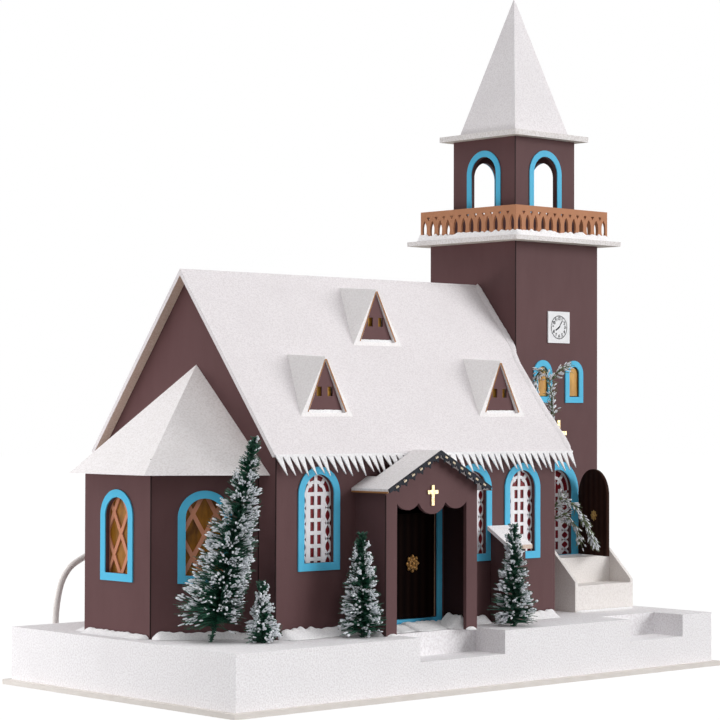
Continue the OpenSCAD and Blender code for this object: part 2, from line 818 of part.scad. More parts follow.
module tower_lattice() color("white") place()
    upright(door_mid, tower_y + card_t, landing + frame_t - lap, paper_t)
        tracery(tframe_w - 2 * tframe_band + 2 * lap,
            tframe_top - landing - tframe_band - frame_t + 2 * lap);

// Cellophane behind the tower's doorway and its two small windows.
module tower_pane() color("darkred") place()
    translate([tower_mid + frame_t - (slit_apart + slit_w) / 2, tower_y + card_t + paper_t,
        landing - lap])
        cube([slit_apart + slit_w, pane_t, slit_z + slit_h - landing + lap]);

// Turns a leaf about its upright axis on the right of the tower doorway.
module on_tdoor() {
    place() translate([door_x, tower_y - hinge_y, 0]) rotate(tdoor_open) children();
}

module tower_door() color([0.12, 0.06, 0.05]) on_tdoor() translate([0, 0, landing + frame_t]) {
    upright(-tdoor_w / 2, -leaf_t / 2, 0, leaf_t) arch(tdoor_w, tdoor_h);
    cylinder(h = tdoor_h - tdoor_w / 2, r = leaf_t / 2);
}

module tower_rosette() color("goldenrod") on_tdoor()
    translate([-tdoor_w * 0.54, leaf_t / 2, landing + tdoor_h * 0.48]) rotate([-90, 0, 0])
        rosette(trose_r, leaf_t / 2);

module tower_frame(side) color("deepskyblue") place()
    upright(tower_mid + side * slit_apart / 2 + frame_t, tower_y - paper_t, slit_z, paper_t)
        arch_frame(slit_w, slit_h, win_band - frame_t / 2);

module tower_frame_1() { tower_frame(-1); }
module tower_frame_2() { tower_frame(1); }

module clock_card() color("white") place()
    upright(tower_mid + frame_t - clock_s / 2, tower_y - paper_t, clock_z - clock_s / 2, paper_t)
        square(clock_s);

module tower_cross() color("gold") place()
    upright(tower_mid + frame_t, tower_y - paper_t, cross_z, paper_t)
        cross(cross_h, 0.63 * cross_h, 0.11 * cross_h, 0.64);

module gallery_deck() color("white") place()
    translate([tower_x - deck_over, tower_y - deck_over, tower_top])
        cube([tower_w + 2 * deck_over, tower_w + 2 * deck_over, deck_t]);

// One side of the balustrade: pointed lights under small webs that make the rail
// look like an interlaced arcade.
module rail_side(side_l) {
    step = side_l / rail_n;
    difference() {
        translate([-side_l / 2, 0]) square([side_l, rail_h]);
        for (i = [0:rail_n - 1]) {
            translate([(i + 0.5) * step - side_l / 2, rail_h * 0.42])
                light(step * 0.27, rail_h * 0.28);
            if (i > 0)
                translate([i * step - side_l / 2, rail_h * 0.74])
                    polygon([[0, -0.06 * rail_h], [0.2 * step, 0.07 * rail_h],
                        [-0.2 * step, 0.07 * rail_h]]);
        }
    }
}

// A light between two balusters: a pointed head over sides that close in at the foot.
module light(half_w, half_h) {
    r = (half_w * half_w + half_h * half_h) / (2 * half_w);
    knee = -half_h * 0.35;
    intersection() {
        translate([half_w - r, 0]) circle(r);
        translate([r - half_w, 0]) circle(r);
        translate([-half_w, 0]) square([2 * half_w, 2 * half_h]);
    }
    polygon([[-half_w, 0], [-half_w, knee], [-half_w * 0.65, -half_h], [half_w * 0.65, -half_h],
        [half_w, knee], [half_w, 0]]);
}

module balustrade() color("peru") place() {
    side_l = tower_w + 2 * rail_over;
    for (a = [0, 180])
        translate([tower_mid, tower_midy, deck_z]) rotate(a)
            upright(0, -side_l / 2, 0, rail_t) rail_side(side_l);
    for (a = [90, 270])
        translate([tower_mid, tower_midy, deck_z]) rotate(a)
            upright(0, -side_l / 2, 0, rail_t) rail_side(side_l);
}

module belfry_walls() color("saddlebrown") place() translate([tower_mid, tower_midy, deck_z])
    difference() {
        translate([-belfry_w / 2, -belfry_w / 2, 0])
            cube([belfry_w, belfry_w, belfry_top - deck_z]);
        translate([card_t - belfry_w / 2, card_t - belfry_w / 2, -card_t])
            cube([belfry_w - 2 * card_t, belfry_w - 2 * card_t, belfry_top]);
        for (a = [0, 90])
            rotate(a) upright(0, -belfry_w, arch_sill, 2 * belfry_w) arch(arch_w, arch_h);
    }

module belfry_cap() color("white") place()
    translate([tower_mid - belfry_w / 2 - cap_over, tower_midy - belfry_w / 2 - cap_over, belfry_top])
        cube([belfry_w + 2 * cap_over, belfry_w + 2 * cap_over, cap_t]);

module pyramid(w, h) {
    polyhedron(points = [[-w / 2, -w / 2, 0], [w / 2, -w / 2, 0], [w / 2, w / 2, 0],
        [-w / 2, w / 2, 0], [0, 0, h]],
        faces = [[0, 1, 2, 3], [1, 0, 4], [2, 1, 4], [3, 2, 4], [0, 3, 4]]);
}

module spire() color("snow") place() translate([tower_mid, tower_midy, cap_z]) difference() {
    pyramid(spire_w, spire_h);
    pyramid(spire_w - 2 * card_t, spire_h * (1 - 2 * card_t / spire_w));
}

// Two side boards with two steps and a landing folded between them.
module stairs() color("white") place() translate([stair_x, 0, base_h]) {
    top = 2 * riser + cheek;
    run = tower_y - stair_y;
    for (x = [0, stair_w - card_t])
        translate([x, stair_y, 0]) rotate([90, 0, 90]) linear_extrude(card_t)
            polygon([[0, 0], [run, 0], [run, 2 * riser], [run - frame_t, 2 * riser],
                [run - frame_t, top], [tread + cheek / 2, top], [0, riser + card_t]]);
    translate([card_t, stair_y, 0]) cube([stair_w - 2 * card_t, card_t, riser]);
    translate([card_t, stair_y, riser - card_t])
        cube([stair_w - 2 * card_t, tread + card_t, card_t]);
    translate([card_t, stair_y + tread, riser - card_t])
        cube([stair_w - 2 * card_t, card_t, riser + card_t]);
    translate([card_t, stair_y + tread, 2 * riser - card_t])
        cube([stair_w - 2 * card_t, run - tread, card_t]);
}

// A hollow box of board glued over the edges of the window frames beside it.
module buttress() color("saddlebrown") place() translate([butt_x, nave_y - butt_d, base_h])
    difference() {
        rotate([90, 0, 90]) linear_extrude(butt_w)
            polygon([[0, 0], [butt_back, 0], [butt_back, butt_z - base_h],
                [0, butt_z - base_h - butt_fall]]);
        translate([card_t, card_t, -card_t]) cube([butt_w - 2 * card_t, butt_d, butt_z]);
    }

module buttress_cap() color("white") place()
    translate([butt_x - butt_over, nave_y - butt_d, base_h]) rotate([90, 0, 90])
        linear_extrude(butt_w + 2 * butt_over) {
            fall = butt_fall / butt_back;
            high = butt_z - base_h;
            low = high - butt_fall - butt_over * fall;
            polygon([[-butt_over, low], [butt_back, high], [butt_back, high + card_t],
                [-butt_over, low + card_t]]);
        }

// Turned parts of the lamp lie along Y, from the back wall inward.
module on_lamp() {
    place() translate([lamp_x, nave_y + nave_d, lamp_z]) rotate([90, 0, 0]) children();
}

module lamp_holder() color("ivory") on_lamp() difference() {
    union() {
        cylinder(h = holder_l, r = holder_r);
        translate([0, 0, -card_t]) cylinder(h = card_t, r = flange_r);
        translate([0, 0, -2 * cord_d]) cylinder(h = 2 * cord_d, r = cord_d);
    }
    translate([0, 0, holder_l * 0.4]) cylinder(h = holder_l, r = holder_r * 0.66);
}

module bulb() color("lightyellow") on_lamp() translate([0, 0, holder_l * 0.4])
    rotate_extrude() bulb_half();

// Half the bulb's outline: the screw cap, the neck and the pear.
module bulb_half() {
    cap_r = holder_r * 0.66;
    cap_l = holder_l * 0.6;
    pear = [for (a = [0:10:90]) [bulb_r * cos(a), cap_l + bulb_l * 0.35 + bulb_l * 0.65 * sin(a)]];
    polygon(concat([[0, 0], [cap_r, 0], [cap_r, cap_l]], pear));
}

// Where the free cord runs: out of the holder, round, down and along the table.
cord_low = 2.1;
cord_pts = [[95, 214.5, 78], [95, 222, 78], [93, 231, 78], [87, 236.5, 77],
    [78, 238, 74.5], [69, 238, 71], [60.5, 238, 66], [54.5, 238, 57.5], [51.5, 238, 47],
    [50, 238, 35], [50.5, 238, 22], [54, 238, 10.5], [61, 238, 4.5], [72, 237, cord_low],
    [90, 235, cord_low], [115, 233, cord_low], [145, 232, cord_low], [175, 232, cord_low],
    [192, 232, cord_low], [196, 232, cord_low]];
coil_mid = [200, 261];
coil_out = 29;
coil_step = 4.6;
coil_turns = 4;
coil_rings = 24;
coil_tail = 36;

// Smooth point between p1 and p2 at share t.
function smooth(p0, p1, p2, p3, t) = 0.5 * ((2 * p1) + (p2 - p0) * t
    + (2 * p0 - 5 * p1 + 4 * p2 - p3) * t * t + (3 * p1 - p0 - 3 * p2 + p3) * t * t * t);
function pick(pts, i) = pts[max(0, min(len(pts) - 1, i))];
function route(pts, n) = concat([for (i = [0:len(pts) - 2], k = [0:n - 1])
    smooth(pick(pts, i - 1), pts[i], pts[i + 1], pick(pts, i + 2), k / n)], [pts[len(pts) - 1]]);
function heading(path, i) = unit(pick(path, i + 1) - pick(path, i - 1));

// A closed tube along a path, its rings square to it.
module tube(path, r, sides, side_way) {
    last = len(path) - 1;
    points = [for (i = [0:last], k = [0:sides - 1])
        let (t = heading(path, i), u = unit(cross(t, side_way)), v = cross(t, u),
            a = (k + 0.5) * 360 / sides)
        path[i] + r * (cos(a) * u + sin(a) * v)];
    walls = [for (i = [0:last - 1], k = [0:sides - 1])
        let (a = i * sides + k, b = i * sides + (k + 1) % sides)
        each [[a, b, b + sides], [a, b + sides, a + sides]]];
    start = [for (k = [1:sides - 2]) [0, k + 1, k]];
    end = [for (k = [1:sides - 2]) [last * sides, last * sides + k, last * sides + k + 1]];
    polyhedron(points = points, faces = concat(walls, start, end));
}

module cord() color("whitesmoke") place()
    tube(route(cord_pts, 2), cord_d / 2, 8, [0.6, 0.6, 0.5]);

// Radius and height of the coil after a number of turns: in, up a layer, and out.
coil_all = 2 * coil_turns;
coil_back = coil_turns - 0.25;
function coil_r(n) = coil_out - coil_step * (coil_back - abs(n - coil_back));
function coil_z(n) = cord_low + coil_step * min(1, max(0, 2 * (n - coil_turns + 0.5)));
coil_path = concat([[coil_mid[0] - cord_d, coil_mid[1] - coil_out, cord_low]],
    [for (i = [0:coil_rings * (coil_all - 0.5) + coil_rings / 2])
        let (n = i / coil_rings, a = n * 360 - 90)
        [coil_mid[0] + coil_r(n) * cos(a), coil_mid[1] + coil_r(n) * sin(a), coil_z(n)]],
    [[coil_mid[0] + coil_tail, coil_mid[1] - coil_r(coil_all), coil_z(coil_all)]]);

module cord_coil() color("whitesmoke") place()
    tube(coil_path, cord_d / 2, 6, [0.05, 0.05, 1]);

coil_gap = min([for (i = [1:len(coil_path) - 2], j = [i + 8:1:len(coil_path) - 2])
    norm(coil_path[i] - coil_path[j])]) - cord_d;
echo(least_gap_in_coil = coil_gap);

// A two-blade plug with its tapered strain relief, lying on its flat side.
module plug() color("whitesmoke") place()
    translate([coil_mid[0] + coil_tail, coil_mid[1] - coil_r(coil_all), coil_z(coil_all)]) {
        relief = 5 * cord_d;
        body_l = 6 * cord_d;
        body_w = 5 * cord_d;
        blade_l = 4 * cord_d;
        half_h = coil_z(coil_all);
        rotate([0, 90, 0]) cylinder(h = relief, r1 = 0.65 * cord_d, r2 = 1.1 * cord_d);
        translate([relief, -body_w / 2, -half_h]) cube([body_l, body_w, 2 * half_h]);
        for (side = [-1, 1])
            translate([relief + body_l, side * 1.6 * cord_d - cord_d / 5, -0.8 * cord_d])
                cube([blade_l, 0.4 * cord_d, 1.6 * cord_d]);
    }

// Brush trees: foot, lean of the tip, height, reach of the lowest strands, and
// what stands near, each as a direction in degrees and the room left that way,
// and the direction of the lowest strand.
brush = [[[31, 60], [14, -22], tree1_h, reach_shares[0] * tree1_h, [[56, 17.5], [-51, 15]], 0],
    [[49.5, 37], [0, 0], tree2_h, reach_shares[1] * tree2_h, [[90, 20]], 0],
    [[113.5, 23.5], [-1, 0], tree3_h, reach_shares[2] * tree3_h, [[0, 11.5], [90, 19]], 20],
    [[230, 15], [0, 0], tree4_h, reach_shares[3] * tree4_h, [[50, 15], [90, 12]], 0]];

function room(az, near) = min([for (n = near) let (c = cos(az - n[0]))
    c > 0.1 ? n[1] / c : 10 * n[1]]);

// A stem of short joined lengths, wide enough to hold the strands' roots.
module stem(pts, r) {
    for (i = [0:len(pts) - 2])
        hull() {
            translate(pts[i]) cylinder(h = r / 2, r = r, $fn = 8);
            translate(pts[i + 1]) cylinder(h = r / 2, r = r, $fn = 8);
        }
}

// A three-sided strand from p, out at azimuth az, rising by up degrees.
module strand(p, az, up, l) {
    translate(p) rotate([0, 90 - up, az]) cylinder(h = l, r1 = strand_r, r2 = strand_r / 3, $fn = 3);
}

module brush_tree(b) color("darkgreen") place() translate([b[0][0], b[0][1], base_h]) {
    parts = 9;
    lean = [b[1][0], b[1][1], b[2] - stem_r];
    stem([for (i = [0:parts]) lean * (i / parts)], stem_r);
    first = bare_share;
    for (k = [0:strand_n - 1]) {
        s = k / strand_n;
        az = k * 137.5 + b[5];
        reach = b[3] * (1 - 0.8 * s) * (0.92 + 0.08 * sin(k * 53));
        strand(lean * (first + (0.97 - first) * s), az, 14 + 10 * s,
            min(reach, room(az, b[4])));
    }
}

// A tree's outer shape alone: a cone on its stem, set off to clear its neighbour.
module plain_tree(b) color("darkgreen") place() translate([b[0][0], b[0][1], base_h]) {
    aside = (b[3] - b[4][0][1]) / 2;
    cylinder(h = b[2] / 2, r = stem_r, $fn = 8);
    translate([-aside, 0, bare_share * b[2]])
        cylinder(h = (1 - bare_share) * b[2], r1 = b[3] - aside, r2 = stem_r);
}

module tree_1() { brush_tree(brush[0]); }
module tree_2() { brush_tree(brush[1]); }
module tree_3() { plain_tree(brush[2]); }
module tree_4() { brush_tree(brush[3]); }

// The weeping tree by the stairs: its stem and its branches, point by point.
weep_foot = [319, 66];
weep_stem = [[0, 0, 0], [0, 0, 40], [0.5, -0.5, 80], [0, 0, 115], [0, 0, 138],
    [0, 2, 150], [0, 6, 157], [0, 10, 158], [0, 14, 152], [0, 15.5, 140]];
weep_top = [[0, 2, 150], [3, -3, 157], [7, -7, 160]];
weep_low = [[0, 0, 66], [4, -4, 74], [10, -10, 70], [16, -16, 57], [20, -20, 44]];
weep_low2 = [[0, 0, 60], [6, -6, 64], [11, -11, 56], [13, -13, 46]];

module twig(pts, count) {
    stem(pts, stem_r * 0.7);
    for (i = [0:len(pts) - 2], k = [0:count - 1])
        strand(pts[i] + (pts[i + 1] - pts[i]) * ((k + 0.5) / count), 137.5 * (k + i * count),
            -20, 4 * stem_r);
}

module tree_5() color("darkolivegreen") place()
    translate([weep_foot[0], weep_foot[1], base_h]) {
        stem(weep_stem, stem_r);
        for (k = [0:17])
            strand(weep_stem[4 + floor(k / 4)] + (weep_stem[5 + floor(k / 4)]
                - weep_stem[4 + floor(k / 4)]) * ((k % 4 + 0.5) / 4), 137.5 * k, 0, 4 * stem_r);
        twig(weep_top, 4);
        twig(weep_low, 4);
        twig(weep_low2, 4);
    }

base_board();
base_box();
nave_walls();
nave_frame_1();
nave_frame_2();
nave_frame_3();
nave_lattice_1();
nave_lattice_2();
nave_lattice_3();
nave_pane();
main_roof();
icicles_front();
dormer_roof_1();
dormer_roof_2();
dormer_roof_3();
dormer_gable_1();
dormer_gable_2();
dormer_gable_3();
apse_walls();
apse_roof();
apse_frame_1();
apse_frame_2();
apse_lattice_1();
apse_lattice_2();
apse_pane();
porch_walls();
porch_roof();
porch_lace();
porch_cross();
porch_door_frame();
porch_door();
porch_rosette();
tower_walls();
tower_door_frame();
tower_lattice();
tower_pane();
tower_door();
tower_rosette();
tower_frame_1();
tower_frame_2();
clock_card();
tower_cross();
gallery_deck();
balustrade();
belfry_walls();
belfry_cap();
spire();
stairs();
buttress();
buttress_cap();
lamp_holder();
bulb();
cord();
cord_coil();
plug();
tree_1();
tree_2();
tree_3();
tree_4();
tree_5();
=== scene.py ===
"""Dresses a lamp-lit village church of painted paperboard for its portrait.

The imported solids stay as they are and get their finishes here. Loose snow, brush
trees, the printed clock dial, foil behind the small windows and the lamp's cord
are made as pieces of their own. Places are given in millimetres from the plinth's
front left corner and turned to metres by at().
"""

import logging
import math
import random
from dataclasses import dataclass, field
from enum import Enum
from functools import partial
from typing import Callable, ClassVar, Sequence

import bmesh
import bpy
from mathutils import Matrix, Vector


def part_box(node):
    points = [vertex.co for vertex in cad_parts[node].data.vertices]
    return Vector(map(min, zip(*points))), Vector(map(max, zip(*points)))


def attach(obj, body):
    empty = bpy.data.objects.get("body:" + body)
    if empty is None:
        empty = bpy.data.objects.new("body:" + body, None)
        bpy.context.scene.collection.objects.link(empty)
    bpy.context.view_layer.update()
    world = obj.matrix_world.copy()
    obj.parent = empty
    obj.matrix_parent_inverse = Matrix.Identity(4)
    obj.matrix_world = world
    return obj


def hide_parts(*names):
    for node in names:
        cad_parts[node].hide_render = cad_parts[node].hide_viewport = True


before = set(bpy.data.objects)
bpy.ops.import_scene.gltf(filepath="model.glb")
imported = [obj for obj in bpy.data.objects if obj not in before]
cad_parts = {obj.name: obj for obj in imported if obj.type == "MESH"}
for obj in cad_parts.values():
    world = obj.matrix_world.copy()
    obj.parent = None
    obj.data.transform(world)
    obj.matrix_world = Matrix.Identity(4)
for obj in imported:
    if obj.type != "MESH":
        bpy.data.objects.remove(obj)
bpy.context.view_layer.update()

log = logging.getLogger("church")

Socket = bpy.types.NodeSocket
Shape = bmesh.types.BMesh
Piece = bpy.types.Object
Add = Callable[..., Socket]
Flat = tuple[float, float]
Place = tuple[float, float, float]

MM = 0.001
PLINTH_L, PLINTH_W, PLINTH_H = 400.0, 212.0, 34.5
BODY = "church"
FRONT, UP = Vector((0, -1, 0)), Vector((0, 0, 1))
LEFT, RIGHT = Vector((-1, 0, 0)), Vector((1, 0, 0))


def at(x: float, y: float, z: float) -> Vector:
    """Returns the point x, y, z mm from the plinth's front left corner, in metres."""
    return Vector((x - PLINTH_L / 2, y - PLINTH_W / 2, z)) * MM


def linear(hex_code: str) -> tuple[float, float, float, float]:
    """Turns an sRGB hex colour into the linear one that shaders use.

    Args:
        hex_code: six hex digits.

    Returns:
        Linear red, green and blue, with an alpha of 1.
    """
    parts = [int(hex_code[i : i + 2], 16) / 255 for i in (0, 2, 4)]
    r, g, b = (c / 12.92 if c <= 0.04045 else ((c + 0.055) / 1.055) ** 2.4 for c in parts)
    return (r, g, b, 1.0)


def per_mm(size_mm: float) -> float:
    """Returns a texture scale at which one feature is size_mm wide."""
    return 1 / (size_mm * MM)


def add_node(
    tree: bpy.types.NodeTree,
    kind: str,
    inputs: dict | None = None,
    out: int | str = 0,
    **settings: object,
) -> Socket | None:
    """Adds a shader node with its settings, values and links.

    Args:
        tree: the node tree that it goes in.
        kind: the node's type name, without its first word ShaderNode.
        inputs: by socket name or number, a value or another node's output.
        out: the output that is handed back.
        **settings: attributes of the node.

    Returns:
        That output, or None from a node without one.
    """
    node = tree.nodes.new("ShaderNode" + kind)
    for name, value in settings.items():
        setattr(node, name, value)
    for key, value in (inputs or {}).items():
        if isinstance(value, Socket):
            tree.links.new(value, node.inputs[key])
        else:
            node.inputs[key].default_value = value
    return node.outputs[out] if node.outputs else None


# settings of a Mix node that mixes colours, at its sockets 6 and 7
COLOURS = {"data_type": "RGBA", "out": 2}


class Cut(Enum):
    """The directions in which a board shows its cut edge or unpainted back."""

    NONE = ()
    UNDER = ((0, 0, -1),)
    FRONT_UNDER = ((0, -1, 0), (0, 0, -1))
    ROOF = ((0, 0.78, -0.62), (0, -0.78, -0.62))

    def mask(self, add: Add) -> Socket | None:
        """Returns 1 on faces that look in one of the directions, or None for no direction.

        Args:
            add: adds a node to the material.

        Returns:
            The mask's socket, or None.
        """
        normal, total = add("TexCoord", out="Normal"), None
        for way in self.value:
            along = add("VectorMath", {0: normal, 1: way}, out="Value", operation="DOT_PRODUCT")
            one = add("MapRange", {"Value": along, "From Min": 0.93, "From Max": 0.97})
            total = add("Math", {0: total, 1: one}, operation="MAXIMUM") if total else one
        return total


# the imported model brings materials of its own, so a finish looks for its name only here
MADE: dict[str, bpy.types.Material] = {}


@dataclass(frozen=True)
class Finish:
    """A named surface; its material is made once and shared."""

    name: str

    def material(self) -> bpy.types.Material:
        """Returns the finish's material, making it at its first use.

        Returns:
            The material, shared by all pieces of this finish.
        """
        if self.name not in MADE:
            made = MADE[self.name] = bpy.data.materials.new(self.name)
            made.use_nodes = True
            made.node_tree.nodes.clear()
            add = partial(add_node, made.node_tree)
            add("OutputMaterial", {0: self.paint(add, add("TexCoord", out="Object"))})
        return MADE[self.name]

    def paint(self, add: Add, place: Socket) -> Socket:
        """Returns the shader; each kind of surface makes it in its own way.

        Args:
            add: adds a node to the material.
            place: the object's own coordinates.

        Returns:
            The shader's output.
        """
        raise NotImplementedError


@dataclass(frozen=True)
class GritSnow(Finish):
    """White grit glued on board, as sieved mica snow: matt, grainy, with a few glints."""

    snow: str = "f3f1f3"
    hollow: str = "e1dddf"
    edge: str = "cdb3a2"
    back: str = "dccbbf"
    grit_mm: float = 1.0
    patch_mm: float = 26.0
    patchy: float = 0.3
    flake_mm: float = 2.4
    fibre_mm: float = 0.9
    depth_mm: float = 0.35
    cut: Cut = Cut.NONE

    def paint(self, add: Add, place: Socket) -> Socket:
        """Grains shade their hollows, wide patches lie thinner, and cut edges stay bare.

        Args:
            add: adds a node to the material.
            place: the object's own coordinates.

        Returns:
            The shader's output.
        """
        # real grit is about 0.4 mm; it is drawn near 1 mm so that it shows
        grains = add("TexNoise", {0: place, "Scale": per_mm(self.grit_mm), "Detail": 2.0})
        patches = add("TexNoise", {0: place, "Scale": per_mm(self.patch_mm), "Detail": 4.0})
        deep = add("MapRange", {"Value": grains, "From Min": 0.34, "From Max": 0.6})
        thin = add(
            "MapRange",
            {"Value": patches, "From Min": 0.45, "From Max": 0.75, "To Max": self.patchy},
        )
        hollow = linear(self.hollow)
        colour = add("Mix", {0: deep, 6: hollow, 7: linear(self.snow)}, **COLOURS)
        colour = add("Mix", {0: thin, 6: colour, 7: hollow}, **COLOURS)
        flakes = add("TexVoronoi", {0: place, "Scale": per_mm(self.flake_mm)})
        # a flake that lies flat shines; the rest is as dull as chalk
        gloss = add(
            "MapRange",
            {"Value": flakes, "From Min": 0.05, "From Max": 0.12, "To Min": 0.25, "To Max": 0.8},
        )
        bare = self.cut.mask(add)
        if bare:
            fibres = add("TexNoise", {0: place, "Scale": per_mm(self.fibre_mm), "Detail": 3.0})
            pale = add("MapRange", {"Value": fibres, "From Min": 0.4, "From Max": 0.7})
            board = add("Mix", {0: pale, 6: linear(self.edge), 7: linear(self.back)}, **COLOURS)
            colour = add("Mix", {0: bare, 6: colour, 7: board}, **COLOURS)
        rough = add("Bump", {"Height": grains, "Distance": self.depth_mm * MM, "Strength": 0.45})
        return add("BsdfPrincipled", {"Base Color": colour, "Roughness": gloss, "Normal": rough})


@dataclass(frozen=True)
class PaintedPaper(Finish):
    """Paper or board brushed with a flat water paint: fibres show through, dull sheen."""

    colour: str = "5d4243"
    worn: str = "6c5051"
    edge: str = "a4764f"
    roughness: float = 0.62
    fibre_mm: float = 0.9
    scuff_mm: float = 3.2
    streak_mm: float = 9.0
    drawn_out: Place = (1.0, 1.0, 0.35)
    wear: float = 0.12
    cut: Cut = Cut.NONE

    def paint(self, add: Add, place: Socket) -> Socket:
        """Brush streaks run down the board, with small scuffs where the paint is thin.

        Args:
            add: adds a node to the material.
            place: the object's own coordinates.

        Returns:
            The shader's output.
        """
        drawn = add("Mapping", {"Vector": place, "Scale": self.drawn_out})
        streaks = add("TexNoise", {0: drawn, "Scale": per_mm(self.streak_mm), "Detail": 4.0})
        fibres = add("TexNoise", {0: place, "Scale": per_mm(self.fibre_mm), "Detail": 3.0})
        specks = add("TexNoise", {0: place, "Scale": per_mm(self.scuff_mm), "Detail": 5.0})
        colour, worn = linear(self.colour), linear(self.worn)
        for pattern, low, high, most in ((streaks, 0.3, 0.7, 2), (specks, 0.69, 0.76, 3)):
            share = add(
                "MapRange",
                {"Value": pattern, "From Min": low, "From Max": high, "To Max": most * self.wear},
            )
            colour = add("Mix", {0: share, 6: colour, 7: worn}, **COLOURS)
        bare = self.cut.mask(add)
        if bare:
            colour = add("Mix", {0: bare, 6: colour, 7: linear(self.edge)}, **COLOURS)
        rough = add("Bump", {"Height": fibres, "Distance": 0.12 * MM, "Strength": 0.35})
        return add(
            "BsdfPrincipled",
            {
                "Base Color": colour,
                "Roughness": self.roughness,
                "Specular IOR Level": 0.12,
                "Normal": rough,
            },
        )


@dataclass(frozen=True)
class GroovedLeaf(Finish):
    """Ribbed card for the doors, stained dark brown, its cut edge left pale; the porch door's near
    black is painted shade.
    """

    # the near-black defaults, which the porch door keeps, are the dark stain darkened further as
    # painted shade of the porch
    colour: str = "060202"
    rib: str = "100705"
    edge: str = "a98a72"
    rib_mm: float = 3.1
    turn_deg: float = 0.0
    hinge: Flat = (0.0, 0.0)
    leaf_mm: float = 50.0

    def paint(self, add: Add, place: Socket) -> Socket:
        """Ribs stand upright along the leaf, measured from its hinge line.

        Args:
            add: adds a node to the material.
            place: the object's own coordinates.

        Returns:
            The shader's output.
        """
        turn = (0, 0, math.radians(self.turn_deg))
        along = add(
            "Mapping",
            {"Vector": place, "Location": at(*self.hinge, 0), "Rotation": turn},
            vector_type="TEXTURE",
        )
        # at scale s the wave comes back after 2 pi / 20 s: one rib and one groove
        scale = per_mm(self.rib_mm) / 20 * math.pi
        ribs = add("TexWave", {"Vector": along, "Scale": scale}, out="Fac")
        reach = add("Math", {0: add("SeparateXYZ", {0: along})}, operation="ABSOLUTE")
        low, high = (self.leaf_mm - 0.5) * MM, (self.leaf_mm - 0.3) * MM
        end = add("MapRange", {"Value": reach, "From Min": low, "From Max": high})
        colour = add("Mix", {0: ribs, 6: linear(self.colour), 7: linear(self.rib)}, **COLOURS)
        colour = add("Mix", {0: end, 6: colour, 7: linear(self.edge)}, **COLOURS)
        ridge = add("Bump", {"Height": ribs, "Distance": 0.5 * MM, "Strength": 0.6})
        return add(
            "BsdfPrincipled",
            {"Base Color": colour, "Roughness": 0.6, "Specular IOR Level": 0.01, "Normal": ridge},
        )


@dataclass(frozen=True)
class Cellophane(Finish):
    """Coloured cellophane over card: glossy, with the soft wrinkles of a thin film."""

    low: str = "6e161f"
    high: str = "8e2a30"
    above: str = ""
    above_lit: str = "b98434"
    above_mm: float = 1000.0
    wrinkle_mm: float = 5.0
    drawn_out: Place = (1.0, 1.0, 0.3)

    def paint(self, add: Add, place: Socket) -> Socket:
        """Wrinkles shift the tint; a second sheet may show above a height.

        Args:
            add: adds a node to the material.
            place: the object's own coordinates.

        Returns:
            The shader's output.
        """
        drawn = add("Mapping", {"Vector": place, "Scale": self.drawn_out})
        wrinkles = add("TexNoise", {0: drawn, "Scale": per_mm(self.wrinkle_mm), "Detail": 5.0})
        tint = add("MapRange", {"Value": wrinkles, "From Min": 0.32, "From Max": 0.68})
        colour = add("Mix", {0: tint, 6: linear(self.low), 7: linear(self.high)}, **COLOURS)
        if self.above:
            height, edge = add("SeparateXYZ", {0: place}, out=2), self.above_mm * MM
            ends = {"From Min": edge, "From Max": edge + 0.5 * MM}
            upper = add("MapRange", {"Value": height, **ends})
            gold = {0: tint, 6: linear(self.above), 7: linear(self.above_lit)}
            colour = add("Mix", {0: upper, 6: colour, 7: add("Mix", gold, **COLOURS)}, **COLOURS)
        folds = add("Bump", {"Height": wrinkles, "Distance": 0.7 * MM, "Strength": 0.5})
        return add(
            "BsdfPrincipled",
            {"Base Color": colour, "Roughness": 0.32, "Specular IOR Level": 0.15, "Normal": folds},
        )


@dataclass(frozen=True)
class GiltFoil(Finish):
    """Embossed metallic paper: bright on the ridges, brown where it is rubbed."""

    bright: str = "ead7ab"
    rubbed: str = "c9a772"
    roughness: float = 0.38

    def paint(self, add: Add, place: Socket) -> Socket:
        """Crumples of about a millimetre break up the shine.

        Args:
            add: adds a node to the material.
            place: the object's own coordinates.

        Returns:
            The shader's output.
        """
        crumple = add("TexNoise", {0: place, "Scale": per_mm(1.3), "Detail": 4.0})
        share = add("MapRange", {"Value": crumple, "From Min": 0.35, "From Max": 0.62})
        colour = add("Mix", {0: share, 6: linear(self.rubbed), 7: linear(self.bright)}, **COLOURS)
        dents = add("Bump", {"Height": crumple, "Distance": 0.3 * MM, "Strength": 0.5})
        look = {"Base Color": colour, "Metallic": 0.6, "Roughness": self.roughness}
        return add("BsdfPrincipled", {**look, "Normal": dents})


